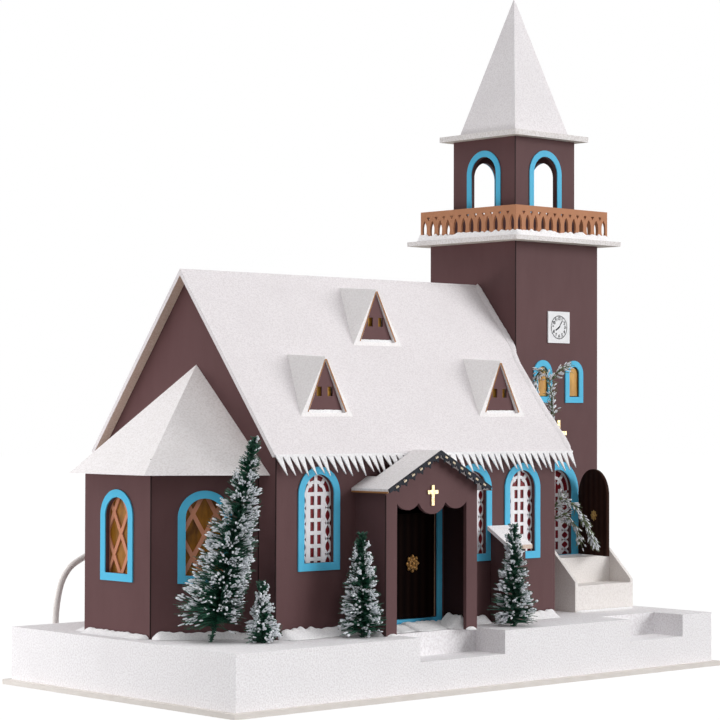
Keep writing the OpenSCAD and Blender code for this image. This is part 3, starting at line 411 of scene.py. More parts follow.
@dataclass(frozen=True)
class Moulded(Finish):
    """Moulded plastic, with the faint orange peel of its mould."""

    colour: str = "d8d4cf"
    shade: str = "c4bfb8"
    roughness: float = 0.42
    metal: str = ""
    metal_from_mm: float = 1000.0

    def paint(self, add: Add, place: Socket) -> Socket:
        """An even colour; past a place along X the plug's blades are plated metal.

        Args:
            add: adds a node to the material.
            place: the object's own coordinates.

        Returns:
            The shader's output.
        """
        peel = add("TexNoise", {0: place, "Scale": per_mm(1.6), "Detail": 2.0})
        dust = add("TexNoise", {0: place, "Scale": per_mm(14.0), "Detail": 4.0})
        dirt = add("MapRange", {"Value": dust, "From Min": 0.35, "From Max": 0.7})
        look = {"Roughness": self.roughness}
        colour = add("Mix", {0: dirt, 6: linear(self.colour), 7: linear(self.shade)}, **COLOURS)
        if self.metal:
            edge = at(self.metal_from_mm, 0, 0)[0]
            ends = {"From Min": edge, "From Max": edge + 0.2 * MM}
            blade = add("MapRange", {"Value": add("SeparateXYZ", {0: place}), **ends})
            colour = add("Mix", {0: blade, 6: colour, 7: linear(self.metal)}, **COLOURS)
            look["Metallic"] = blade
        skin = add("Bump", {"Height": peel, "Distance": 0.1 * MM, "Strength": 0.2})
        return add("BsdfPrincipled", {"Base Color": colour, "Normal": skin, **look})


@dataclass(frozen=True)
class BulbGlass(Finish):
    """Clear blown glass with a warm cast, over a nickelled cap."""

    cap_to_mm: float = 180.5

    def paint(self, add: Add, place: Socket) -> Socket:
        """The screw cap is metal up to its edge, and the pear beyond it is glass.

        Args:
            add: adds a node to the material.
            place: the object's own coordinates.

        Returns:
            The shader's output.
        """
        edge = at(0, self.cap_to_mm, 0)[1]
        ends = {"From Min": edge, "From Max": edge + 0.3 * MM}
        cap = add("MapRange", {"Value": add("SeparateXYZ", {0: place}, out=1), **ends})
        colour = add("Mix", {0: cap, 6: linear("f6efdc"), 7: linear("b9b4aa")}, **COLOURS)
        clear = add("Math", {0: 1.0, 1: cap}, operation="SUBTRACT")
        look = {"Base Color": colour, "Metallic": cap, "Roughness": 0.08}
        return add("BsdfPrincipled", {**look, "Transmission Weight": clear})


@dataclass(frozen=True)
class Bristle(Finish):
    """Cut plastic film for tree bristles, dark green and a little glossy."""

    dark: str = "0c2c22"
    light: str = "1e5a41"

    def paint(self, add: Add, place: Socket) -> Socket:
        """Each strand's green differs a little from its neighbours'.

        Args:
            add: adds a node to the material.
            place: the object's own coordinates.

        Returns:
            The shader's output.
        """
        patch = add("TexNoise", {0: place, "Scale": per_mm(1.8), "Detail": 2.0})
        share = add("MapRange", {"Value": patch, "From Min": 0.35, "From Max": 0.65})
        colour = add("Mix", {0: share, 6: linear(self.dark), 7: linear(self.light)}, **COLOURS)
        return add("BsdfPrincipled", {"Base Color": colour, "Roughness": 0.5})


SNOW = GritSnow("mica_snow_on_board")
# the roof's snow is the same glitter as the plinth's, made darker as painted shade
SHADED_ROOF_SNOW = GritSnow("shaded_mica_snow_on_roof", snow="e4dfe1", hollow="d6d0d2", cut=Cut.ROOF)
# the spire's snow is the same glitter, made darker as painted shade
SHADED_SPIRE_SNOW = GritSnow("shaded_mica_snow_on_spire", snow="e8e4e6", hollow="dad5d7")
THIN_SNOW = GritSnow(
    "thin_mica_snow", snow="f5f1f2", hollow="e6e1e1", grit_mm=1.1, cut=Cut.FRONT_UNDER
)
# the dormers' snow is the same glitter made lighter: painted light on their side panels
LIT_DORMER_SNOW = GritSnow("lit_mica_snow_on_dormer", snow="f9f6f6", hollow="efebeb")
# the stair's snow has a warm tint of its own and is made darker as painted shade
SHADED_STAIR_SNOW = GritSnow("shaded_mica_snow_on_stairs", snow="ebe6e3", hollow="e0dad6", depth_mm=0.2)
LOOSE_SNOW = GritSnow("loose_snow", snow="f8f7f8", hollow="e8e6e8", grit_mm=0.9)
DECK_SNOW = GritSnow(
    "mica_snow_on_deck", snow="e9e5e4", hollow="d4cecb", back="d8d2c8", edge="cdc5ba", cut=Cut.UNDER
)
BARE_BOARD = PaintedPaper("bare_grey_board", colour="dfd9d4", worn="d0c8c1", wear=0.2)
BROWN = PaintedPaper("brown_painted_board")
BROWN_GABLE = PaintedPaper("brown_painted_gable", colour="634647", cut=Cut.UNDER)
CREAM = PaintedPaper("cream_board", colour="dccdb4", worn="c8b594", roughness=0.8)
BOARD_EDGE = PaintedPaper("cut_edge_of_board", colour="b07c4e", worn="9a6a42", roughness=0.8)
SEAM = PaintedPaper("dark_folded_joint", colour="241616", worn="301e1e")
BLUE = PaintedPaper("blue_painted_paper", colour="52b9e0", worn="74c8e6", roughness=0.5)
WHITE = PaintedPaper("white_cut_paper", colour="f8f5f8", worn="e9e4e9", roughness=0.7)
CARD = PaintedPaper("white_printing_card", colour="eeeef0", worn="e4e3e6", roughness=0.55)
TAN = PaintedPaper("terracotta_card", colour="cb8c70", worn="b5785c", roughness=0.7)
RAIL = PaintedPaper("terracotta_rail_board", colour="ba8464", worn="a67152", roughness=0.75)
LACE = PaintedPaper("slate_paper_lace", colour="2e3036", worn="43464d", roughness=0.8)
RED_FILM = Cellophane("wrinkled_red_cellophane")
TOWER_FILM = Cellophane("red_and_amber_cellophane", above="8e5d22", above_mm=150.0)
AMBER_FILM = Cellophane("wrinkled_amber_cellophane", low="5a3610", high="a06a20")
AMBER_FOIL = Cellophane("crumpled_amber_foil", low="a36f22", high="d6a048")
GILT = GiltFoil("embossed_gilt_paper")
OLD_GILT = GiltFoil("antique_gilt_paper", bright="d8b26c", rubbed="7d5722", roughness=0.42)
# a darker copy of the gilt for the flower on the porch door: painted shade of the porch, not
# tarnish
SHADED_GILT = GiltFoil("shaded_gilt_paper", bright="9a7038", rubbed="402a10", roughness=0.45)
# the porch door keeps the near-black defaults: painted shade inside the porch
SHADED_PORCH_LEAF = GroovedLeaf("shaded_ribbed_card_porch_leaf", hinge=(138.4, 42.1))
TOWER_LEAF = GroovedLeaf(
    "ribbed_card_tower_leaf",
    colour="2b1a16",
    rib="36231d",
    turn_deg=75.0,
    hinge=(371.5, 89.1),
    leaf_mm=60.0,
)
# dark sheets for the porch's inner side walls: painted shade of the porch, not a real lining
PORCH_SHADE_SHEET = PaintedPaper("painted_porch_shade_paper", colour="2a1a1b", worn="332122")
LAMP_PLASTIC = Moulded("moulded_lamp_plastic", colour="e4e0d4", shade="d2ccbd", roughness=0.5)
CORD_VINYL = Moulded("soft_vinyl_cord", colour="ded8d5", shade="cec8c5", roughness=0.38)
PLUG_VINYL = Moulded(
    "moulded_vinyl_plug", colour="e2dedb", shade="d2cdca", metal="b9a878", metal_from_mm=280.2
)
GREEN = Bristle("green_film_bristle")
TWIG_GREEN = Bristle("olive_film_needle", dark="4a5638", light="77835c")
FROST = GritSnow("flocked_frost", snow="f6f7fb", hollow="d3d8e0", grit_mm=0.8, depth_mm=0.2)
INK = PaintedPaper("black_printing_ink", colour="1d1c20", worn="2c2b30", roughness=0.5)
LAMP_GLASS = BulbGlass("lamp_bulb_glass")


class Part:
    """A sub-assembly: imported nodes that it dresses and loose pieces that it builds."""

    finishes: ClassVar[dict[Finish, str]] = {}

    def dress(self) -> None:
        """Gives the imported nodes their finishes."""
        for finish, nodes in self.finishes.items():
            for name in nodes.split():
                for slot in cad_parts[name].material_slots:
                    slot.material = finish.material()
                log.info("dressed %s in %s", name, finish.name)

    def build(self) -> None:
        """Builds the loose pieces, where the part has some."""


def add_piece(
    bm: Shape, name: str, finish: Finish, smooth: bool = False, body: str = BODY
) -> Piece:
    """Turns a bmesh into a piece of the church.

    Args:
        bm: the shape, freed here.
        name: the piece's name.
        finish: its surface.
        smooth: whether its faces are shaded smooth.
        body: the body that it moves with.

    Returns:
        The new object.
    """
    mesh = bpy.data.meshes.new(name)
    bm.to_mesh(mesh)
    bm.free()
    if smooth:
        mesh.shade_smooth()
    mesh.materials.append(finish.material())
    obj = bpy.data.objects.new(name, mesh)
    bpy.context.scene.collection.objects.link(obj)
    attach(obj, body)
    log.info("built %s, %d faces", name, len(mesh.polygons))
    return obj


def thicken(piece: Piece, sheet: str, thick_mm: float) -> None:
    """Gives a flat piece the thickness of its sheet, half of it on either side."""
    made = piece.modifiers.new(sheet, "SOLIDIFY")
    made.thickness, made.offset = thick_mm * MM, 0.0


def ribbon(bm: Shape, line: Sequence[Vector], width: float, face: Vector) -> None:
    """Adds a flat strip along a line.

    Args:
        bm: the shape that it joins.
        line: its middle line, point by point.
        width: its width, in metres.
        face: the way that it looks.
    """
    steps = len(line) - 1
    made = bmesh.ops.create_grid(bm, x_segments=steps, y_segments=1, size=1)
    for vert in made["verts"]:
        i, side = round((vert.co.x + 1) / 2 * steps), vert.co.y
        ahead = (line[min(i + 1, steps)] - line[max(i - 1, 0)]).normalized()
        vert.co = line[i] + face.cross(ahead) * side * width / 2


class Bundle:
    """Gathers hundreds of small strands into one shape, a handful at a time."""

    def __init__(self, handful: int = 120) -> None:
        """Starts an empty bundle that is packed after every handful.

        Args:
            handful: how many strands are gathered before they are packed.
        """
        self.whole = bmesh.new()
        self.part = bmesh.new()
        self.handful = handful
        self.held = 0

    def count(self) -> None:
        """Packs the strands in hand once there are enough of them."""
        self.held += 1
        if self.held >= self.handful:
            self.pack()

    def pack(self) -> None:
        """Moves the strands in hand into the whole."""
        mesh = bpy.data.meshes.new("handful")
        self.part.to_mesh(mesh)
        self.whole.from_mesh(mesh)
        bpy.data.meshes.remove(mesh)
        self.part.clear()
        self.held = 0

    def strand(self, root: Vector, way: Vector, length: float, thick: float) -> None:
        """Adds a three-sided strand from root along way.

        Args:
            root: where it starts.
            way: the direction that it grows in.
            length: its length, in metres.
            thick: its radius at the root, in metres.
        """
        turn = way.to_track_quat("Z", "Y").to_matrix().to_4x4()
        bmesh.ops.create_cone(
            self.part,
            cap_ends=True,
            segments=3,
            radius1=thick,
            radius2=thick * 0.55,
            depth=length,
            matrix=Matrix.Translation(root + way * length / 2) @ turn,
        )
        self.count()

    def pellet(self, middle: Vector, way: Vector, long: float, thick: float) -> None:
        """Adds a clump of frost, drawn out along way.

        Args:
            middle: the clump's middle.
            way: the direction that it is drawn out in.
            long: half its length, in metres.
            thick: half its width, in metres.
        """
        turn = way.to_track_quat("Z", "Y").to_matrix().to_4x4()
        size = Matrix.Diagonal((thick, thick, long, 1))
        bmesh.ops.create_icosphere(
            self.part, subdivisions=1, radius=1, matrix=Matrix.Translation(middle) @ turn @ size
        )
        self.count()

    def finished(self) -> Shape:
        """Returns the whole bundle.

        Returns:
            One shape with every strand in it.
        """
        self.pack()
        self.part.free()
        return self.whole


@dataclass
class SnowBank:
    """A ragged bank of loose snow in the corner between a wall and what lies under it."""

    name: str
    path: Sequence[Vector]
    out: Vector
    width_mm: float
    height_mm: float
    seed: int
    up: Vector = field(default_factory=UP.copy)
    step_mm: float = 1.8
    rough: float = 0.25
    lift_mm: float = 0.0
    # across and up, as shares of the width and the height
    profile: tuple[Flat, ...] = (
        (0.0, -0.02), (0.0, 0.9), (0.14, 1.0), (0.34, 0.74), (0.6, 0.36), (0.85, 0.1), (1.0, -0.02),
        (0.0, -0.02),
    )
    finish: Finish = LOOSE_SNOW
    swell_steps: int = 6
    fade_mm: float = 12.0

    def along(self, share: float) -> Vector:
        """Returns the point at a share of the path's length.

        Args:
            share: from 0 at its start to 1 at its end.

        Returns:
            The point, in metres.
        """
        lengths = [(b - a).length for a, b in zip(self.path, self.path[1:])]
        left = share * sum(lengths)
        for start, end, length in zip(self.path, self.path[1:], lengths):
            if left <= length or end is self.path[-1]:
                return start.lerp(end, min(1.0, left / length))
            left -= length
        return self.path[-1]

    def build(self) -> Piece:
        """Wraps a sheet round the bank's profile, uneven from place to place.

        Returns:
            The bank as a piece.
        """
        rng = random.Random(self.seed)
        total = sum((b - a).length for a, b in zip(self.path, self.path[1:])) / MM
        stations = max(6, round(total / self.step_mm))
        rows = len(self.profile) - 1
        swell = [rng.uniform(0.78, 1.0) for _ in range(stations // self.swell_steps + 3)]
        size, crest = [], []
        for i in range(stations + 1):
            k, t = divmod(i / self.swell_steps, 1)
            t = t * t * (3 - 2 * t)
            wave = swell[int(k)] * (1 - t) + swell[int(k) + 1] * t
            ends = min(1.0, 3 * min(i, stations - i) / stations * total / self.fade_mm)
            size.append(ends * wave)
            crest.append(self.rough * rng.uniform(-1, 1))
        bm = bmesh.new()
        bmesh.ops.create_grid(bm, x_segments=stations, y_segments=rows, size=1)
        for vert in bm.verts:
            i = round((vert.co.x + 1) / 2 * stations)
            j = round((vert.co.y + 1) / 2 * rows)
            across, high = self.profile[j]
            near = max(0.0, 1 - 2 * abs(across))
            wide = self.width_mm * across * size[i] * rng.uniform(0.94, 1.06)
            tall = self.height_mm * high * size[i] * (1 + crest[i] * near) + self.lift_mm
            vert.co = self.along(i / stations) + (self.out * wide + self.up * tall) * MM
        bmesh.ops.remove_doubles(bm, verts=bm.verts, dist=0.02 * MM)
        bmesh.ops.recalc_face_normals(bm, faces=bm.faces)
        piece = add_piece(bm, self.name, self.finish, smooth=True)
        soft = piece.modifiers.new("soft", "SUBSURF")
        soft.levels = soft.render_levels = 1
        return piece


@dataclass
class BrushTree:
    """A bottle-brush tree: film bristles twisted in wire, flocked at the tips."""

    number: int
    foot: Flat
    lean: Flat
    height: float
    reach: float
    # the walls about it, each as the way to it in degrees and the gap in millimetres
    near: tuple[Flat, ...]
    tufts: int
    frosted: float = 0.8
    bare: float = 0.07
    tier_mm: float = 6.5
    tuft_of: int = 8
    thick_mm: float = 0.32
    clump: float = 1.0
    taper: float = 0.78
    # the way that the frost was sprayed from, in degrees
    sprayed: float = -43.0

    def room(self, azimuth: float) -> float:
        """Returns how far a bristle may reach at an azimuth before it meets a wall.

        Args:
            azimuth: the way that it points, in radians.

        Returns:
            The reach, in millimetres.
        """
        free = [1e3]
        for way, gap in self.near:
            facing = math.cos(azimuth - math.radians(way))
            if facing > 0.1:
                free.append(gap / facing)
        return min(free)

    def build(self) -> None:
        """Fans tufts of bristles out in tiers and flocks their outer halves."""
        rng = random.Random(40 + self.number)
        foot = at(*self.foot, PLINTH_H)
        axis = Vector((*self.lean, self.height)) * MM
        green, white = Bundle(), Bundle()
        for k in range(self.tufts):
            even = self.bare + (1 - self.bare) * (k + 0.5) / self.tufts
            beat = 2 * math.pi * even * self.height / self.tier_mm
            share = even - 0.95 * self.tier_mm / self.height * math.sin(beat) / (2 * math.pi)
            azimuth = math.radians(137.5 * k) + rng.uniform(-0.2, 0.2)
            full = self.reach * (1 - self.taper * share) * rng.choice((0.65, 0.85, 1.0, 1.0, 1.12))
            low = min(1.0, 0.8 + (share - self.bare) * 6)
            rise = math.radians(rng.gauss(4 + 30 * share**1.5, 7))
            self.tuft(rng, green, white, foot, axis, share, azimuth, full * low, rise)
        for _ in range(60):
            share, azimuth = rng.uniform(0.0, self.bare + 0.03), rng.uniform(0, 2 * math.pi)
            way = Vector((math.cos(azimuth), math.sin(azimuth), rng.uniform(-0.3, 0.5)))
            green.strand(
                foot + axis * share, way.normalized(), rng.uniform(1.6, 3.0) * MM, 0.4 * MM
            )
        self.wire(green, foot, axis)
        piece = add_piece(green.finished(), f"brush_tree_{self.number}", GREEN)
        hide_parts(f"tree_{self.number}")
        add_piece(white.finished(), f"brush_tree_{self.number}_frost", FROST, True)

    def tuft(
        self,
        rng: random.Random,
        green: Bundle,
        white: Bundle,
        foot: Vector,
        axis: Vector,
        share: float,
        azimuth: float,
        reach: float,
        rise: float,
    ) -> None:
        """Adds one tuft.

        Args:
            rng: the tree's random numbers.
            green: the bristles so far.
            white: the frost so far.
            foot: the tree's foot.
            axis: from the foot to the tip.
            share: how far up the tuft starts, from 0 to 1.
            azimuth: the way that it points, in radians.
            reach: its length, in millimetres.
            rise: its slope, in radians.
        """
        across = abs(math.cos(azimuth - math.radians(self.sprayed)))
        chance = self.frosted * min(1.0, max(0.1, (0.92 - share) * 7)) * min(1.0, 0.2 + share * 5)
        chance *= 0.55 + 0.6 * across
        heavy = rng.random() < chance
        fan = 0.09 + 0.09 * (1 - share)
        for _ in range(self.tuft_of):
            a, e = azimuth + rng.gauss(0, fan), rise + rng.gauss(0, fan * 0.7)
            way = Vector((math.cos(a) * math.cos(e), math.sin(a) * math.cos(e), math.sin(e)))
            up = min(max(share + rng.gauss(0, 0.7) / self.height, 0.01), 0.985)
            length = min(reach * rng.uniform(0.75, 1.05), self.room(a) * rng.uniform(0.88, 0.97))
            length = min(length, (self.height + 1.5 - up * self.height) / max(way.z, 0.05))
            root = foot + axis * up
            green.strand(root, way, length * MM, self.thick_mm * MM)
            if rng.random() < (0.9 if heavy else 0.25 * chance):
                long = rng.uniform(1.0, 3.4) * min(1.0, length / 12)
                white.pellet(
                    root + way * (length - long * rng.uniform(0.9, 1.6)) * MM,
                    way,
                    long * MM,
                    rng.uniform(0.42, 0.72) * self.clump * MM,
                )

    def wire(self, green: Bundle, foot: Vector, axis: Vector) -> None:
        """Twists two wires up the middle.

        Args:
            green: the bristles so far.
            foot: the tree's foot.
            axis: from the foot to the tip.
        """
        turns, parts = self.height / 7, int(self.height / 1.6)
        for side in (0, math.pi):
            spots = []
            for i in range(parts + 1):
                a = side + i / parts * turns * 2 * math.pi
                spots.append(
                    foot + axis * i / parts + Vector((math.cos(a), math.sin(a), 0)) * 0.55 * MM
                )
            for start, end in zip(spots, spots[1:]):
                run = end - start
                green.strand(start, run.normalized(), run.length * 1.15, 0.6 * MM)


@dataclass
class WeepingTree:
    """A drooping twig tree: fine needles all along bent wires, heavy with frost."""

    foot: Flat = (319.0, 66.0)
    boughs: tuple[tuple[Place, ...], ...] = (
        ((0, 0, 0), (0, 0, 40), (0.5, -0.5, 80), (0, 0, 115), (0, 0, 138), (0, 2, 150),
         (0, 6, 157), (0, 10, 158), (0, 14, 152), (0, 15.5, 140)),
        ((0, 2, 150), (3, -3, 157), (7, -7, 160)),
        ((0, 0, 66), (4, -4, 74), (10, -10, 70), (16, -16, 57), (20, -20, 44)),
        ((0, 0, 60), (6, -6, 64), (11, -11, 56), (13, -13, 46)),
    )
    needles_per_mm: float = 3.4

    def build(self) -> None:
        """Runs needles along each bough, thickest past the bend."""
        rng = random.Random(77)
        green, white = Bundle(), Bundle()
        foot = at(*self.foot, PLINTH_H)
        for number, bough in enumerate(self.boughs):
            points = [foot + Vector(p) * MM for p in bough]
            for i, (start, end) in enumerate(zip(points, points[1:])):
                run = end - start
                green.strand(start, run.normalized(), run.length * 1.04, 0.75 * MM)
                if number == 0 and i < 3:
                    continue
                for _ in range(round(run.length / MM * self.needles_per_mm)):
                    side = Vector((rng.gauss(0, 1), rng.gauss(0, 1), rng.gauss(0, 1)))
                    way = side.normalized() * 0.6 + run.normalized() * 0.9 - Vector((0, 0, 0.25))
                    way.normalize()
                    root = start + run * rng.random()
                    length = rng.uniform(4.0, 8.0)
                    green.strand(root, way, length * MM, 0.26 * MM)
                    if rng.random() < 0.75:
                        white.pellet(
                            root + way * length * rng.uniform(0.45, 0.85) * MM,
                            way,
                            rng.uniform(1.1, 2.2) * MM,
                            rng.uniform(0.32, 0.6) * MM,
                        )
        piece = add_piece(green.finished(), "weeping_tree", TWIG_GREEN)
        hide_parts("tree_5")
        add_piece(white.finished(), "weeping_tree_frost", FROST, True)


@dataclass
class Plinth(Part):
    """The snowy plinth on its bottom board, with loose snow where the walls stand."""

    finishes = {BARE_BOARD: "base_board", SNOW: "base_box"}

    def build(self) -> None:
        """Banks loose snow along the feet of the walls."""
        # each with the line of its wall, its way out, its width and its height
        banks = (
            ("bank_nave_left", ((66, 44.5), (126, 44.5)), (0, -1), 13, 6.6),
            ("bank_nave_right", ((202, 44.5), (238, 44.5)), (0, -1), 12, 7.0),
            ("bank_nave_corner", ((255, 44.5), (299, 44.5)), (0, -1), 11, 5.6),
            ("bank_apse_front", ((65.5, 59.7), (14, 93.7)), (-0.55, -0.83), 10, 5.0),
            ("bank_apse_left", ((14, 93.7), (14, 157.3)), (-1, 0), 8, 3.0),
            ("bank_apse_back", ((14, 157.3), (65.5, 191.3)), (-0.55, 0.83), 9, 3.0),
            ("bank_porch_left", ((126.5, 44.5), (126.5, 18.5)), (-1, 0), 5, 2.6),
            ("bank_porch_right", ((201.5, 18.5), (201.5, 44.5)), (1, 0), 6, 2.8),
            ("bank_porch_post", ((127, 18.2), (137, 18.2)), (0, -1), 4, 1.8),
            ("bank_porch_post_2", ((191, 18.2), (201.5, 18.2)), (0, -1), 5, 2.4),
            ("bank_porch_inside", ((131, 43), (170, 43)), (0, -1), 17, 4.6),
            ("bank_porch_inside_2", ((158, 43), (198, 43)), (0, -1), 20, 5.3),
            ("bank_porch_heap", ((198.5, 22), (198.5, 43)), (-1, 0), 16, 9.5),
            ("bank_nave_back", ((299, 206.5), (66, 206.5)), (0, 1), 5, 2.6),
            ("bank_tower_right", ((391.5, 92), (391.5, 171)), (1, 0), 6, 2.6),
            ("bank_tower_back", ((391, 171.5), (312, 171.5)), (0, 1), 7, 2.8),
            ("bank_nave_end", ((298.5, 45), (298.5, 91)), (1, 0), 7, 2.8),
        )
        for seed, (name, line, out, width, height) in enumerate(banks):
            path, way = [at(*p, PLINTH_H) for p in line], Vector((*out, 0)).normalized()
            SnowBank(name, path, way, width, height, seed + 1).build()


@dataclass
class Tracery:
    """A sheet of white paper cut into bars, crossing bands and a fan under its arch."""

    node: str
    foot: Place
    width: float
    height: float
    crossing: float = 9.0
    bar: float = 2.3
    gap: float = 3.0
    side: float = 3.2
    rise: float = 7.5
    lap: float = 1.0
    rung: float = 2.2
    lace: float = 1.35
    ray_deg: float = 38.0
    ray_from: float = 5.5
    first_rung: float = 2.1
    fan_share: float = 0.31
    fan: float = 1.9
    rim: float = 1.8
    rim_lap: float = 0.4
    sheet: float = 0.06
    paper: float = 0.4

    def point(self, x: float, z: float, layer: int) -> Vector:
        """Returns the point x beside and z above the foot's middle, a layer further in."""
        return at(self.foot[0] + x, self.foot[1] + self.sheet * layer, self.foot[2] + z)

    def build(self) -> None:
        """Lays the strips one just behind the other and gives them the paper's thickness."""
        bm = bmesh.new()
        spring, reach = self.height - self.width / 2, self.width / 2 + self.lap
        inner = self.bar / 2 + self.gap
        outer = inner + self.side

        def strip(points: Sequence[Flat], wide: float, layer: int) -> None:
            """Lays one strip through points beside and above the foot's middle."""
            ribbon(bm, [self.point(x, z, layer) for x, z in points], wide * MM, FRONT)

        strip([(0, -self.lap), (0, spring + reach)], self.bar, 0)
        for way in (-1, 1):
            middle = way * (inner + outer) / 2
            strip([(middle, -self.lap), (middle, spring + 1)], self.side, 0)
            lean = math.radians(90 - way * self.ray_deg)
            ends = (self.ray_from, reach)
            strip([(r * math.cos(lean), spring + r * math.sin(lean)) for r in ends], self.rung, 1)
            column = self.width / 2 - outer
            for phase in (0, math.pi):
                wave = []
                for i in range(int(spring) + 1):
                    turn = phase + 2 * math.pi * i / self.crossing / 2
                    swing = 0.5 * (column + 0.9) * math.cos(turn)
                    wave.append((way * (outer + column / 2 + swing), i))
                strip(wave, self.lace, 2)
        count = int((spring + 1) / self.rise)
        for i in range(count + 1):
            wide = reach if i == count else outer
            level = self.first_rung + i * self.rise
            strip([(-wide, level), (wide, level)], self.rung, 1)
        arcs = (self.width * self.fan_share, self.fan), (self.width / 2 + self.rim_lap, self.rim)
        for radius, wide in arcs:
            arc = [math.radians(7.5 * i) for i in range(25)]
            strip([(radius * math.cos(a), spring + radius * math.sin(a)) for a in arc], wide, 3)
        piece = add_piece(bm, self.node.replace("lattice", "tracery"), WHITE)
        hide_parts(self.node)
        thicken(piece, "paper", self.paper)


TRACERIES: tuple[Tracery, ...] = (
    Tracery("nave_lattice_1", (98.0, 47.25, 77.0), 23, 51),
    Tracery("nave_lattice_2", (224.5, 47.25, 77.0), 23, 51),
    Tracery("nave_lattice_3", (268.2, 47.25, 77.0), 23, 51),
    Tracery("tower_lattice", (351.5, 94.25, 69.5), 28, 56.5, crossing=6.3),
)


@dataclass
class Rosette:
    """A pressed gilt flower on a door leaf: a domed middle, petals and a beaded rim."""

    node: str
    body: str
    face: Flat
    radius: float
    finish: Finish = OLD_GILT
    # how many, and as shares of the radius: how far out, how wide and how high
    domes: tuple[tuple[int, float, float, float], ...] = (
        (1, 0.0, 0.3, 0.34), (8, 0.5, 0.25, 0.26), (8, 0.78, 0.2, 0.16), (1, 0.0, 0.82, 0.14),
    )

    def build(self) -> None:
        """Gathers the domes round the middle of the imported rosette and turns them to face."""
        first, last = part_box(self.node)
        middle = (Vector(first) + Vector(last)) / 2
        out = Vector((*self.face, 0)).normalized()
        turn = out.to_track_quat("Z", "Y").to_matrix().to_4x4()
        place = Matrix.Translation(middle - out * 0.6 * MM) @ turn
        bm = bmesh.new()
        for count, ring, size, high in self.domes:
            for i in range(count):
                a = 2 * math.pi * i / count + ring
                spot = Vector((math.cos(a), math.sin(a), 0)) * ring * self.radius * MM
                wide, tall = size * self.radius * MM, high * self.radius * MM
                shape = Matrix.Diagonal((wide, wide, tall, 1))
                matrix = place @ Matrix.Translation(spot) @ shape
                bmesh.ops.create_uvsphere(bm, u_segments=12, v_segments=8, radius=1, matrix=matrix)
        name = self.node.replace("rosette", "flower")
        piece = add_piece(bm, name, self.finish, True, self.body)
        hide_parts(self.node)


@dataclass
class Joints:
    """The dark lines where the painted boards meet at the corners."""

    corners: tuple[tuple[float, float, float, float], ...] = (
        (14.0, 93.7, 34.5, 137.0),
        (65.5, 59.7, 34.5, 137.0),
        (65.5, 44.5, 34.5, 140.0),
        (126.5, 18.2, 34.5, 116.0),
        (311.5, 91.5, 34.5, 277.0),
        (322.5, 102.5, 280.0, 347.5),
    )

    def build(self) -> None:
        """Stands a thin dark edge on each corner."""
        bm = bmesh.new()
        for x, y, low, high in self.corners:
            size = Matrix.Diagonal((0.55 * MM, 0.55 * MM, (high - low) * MM, 1))
            matrix = Matrix.Translation(at(x, y, (low + high) / 2)) @ size
            bmesh.ops.create_cube(bm, size=1, matrix=matrix)
        add_piece(bm, "corner_joints", SEAM)


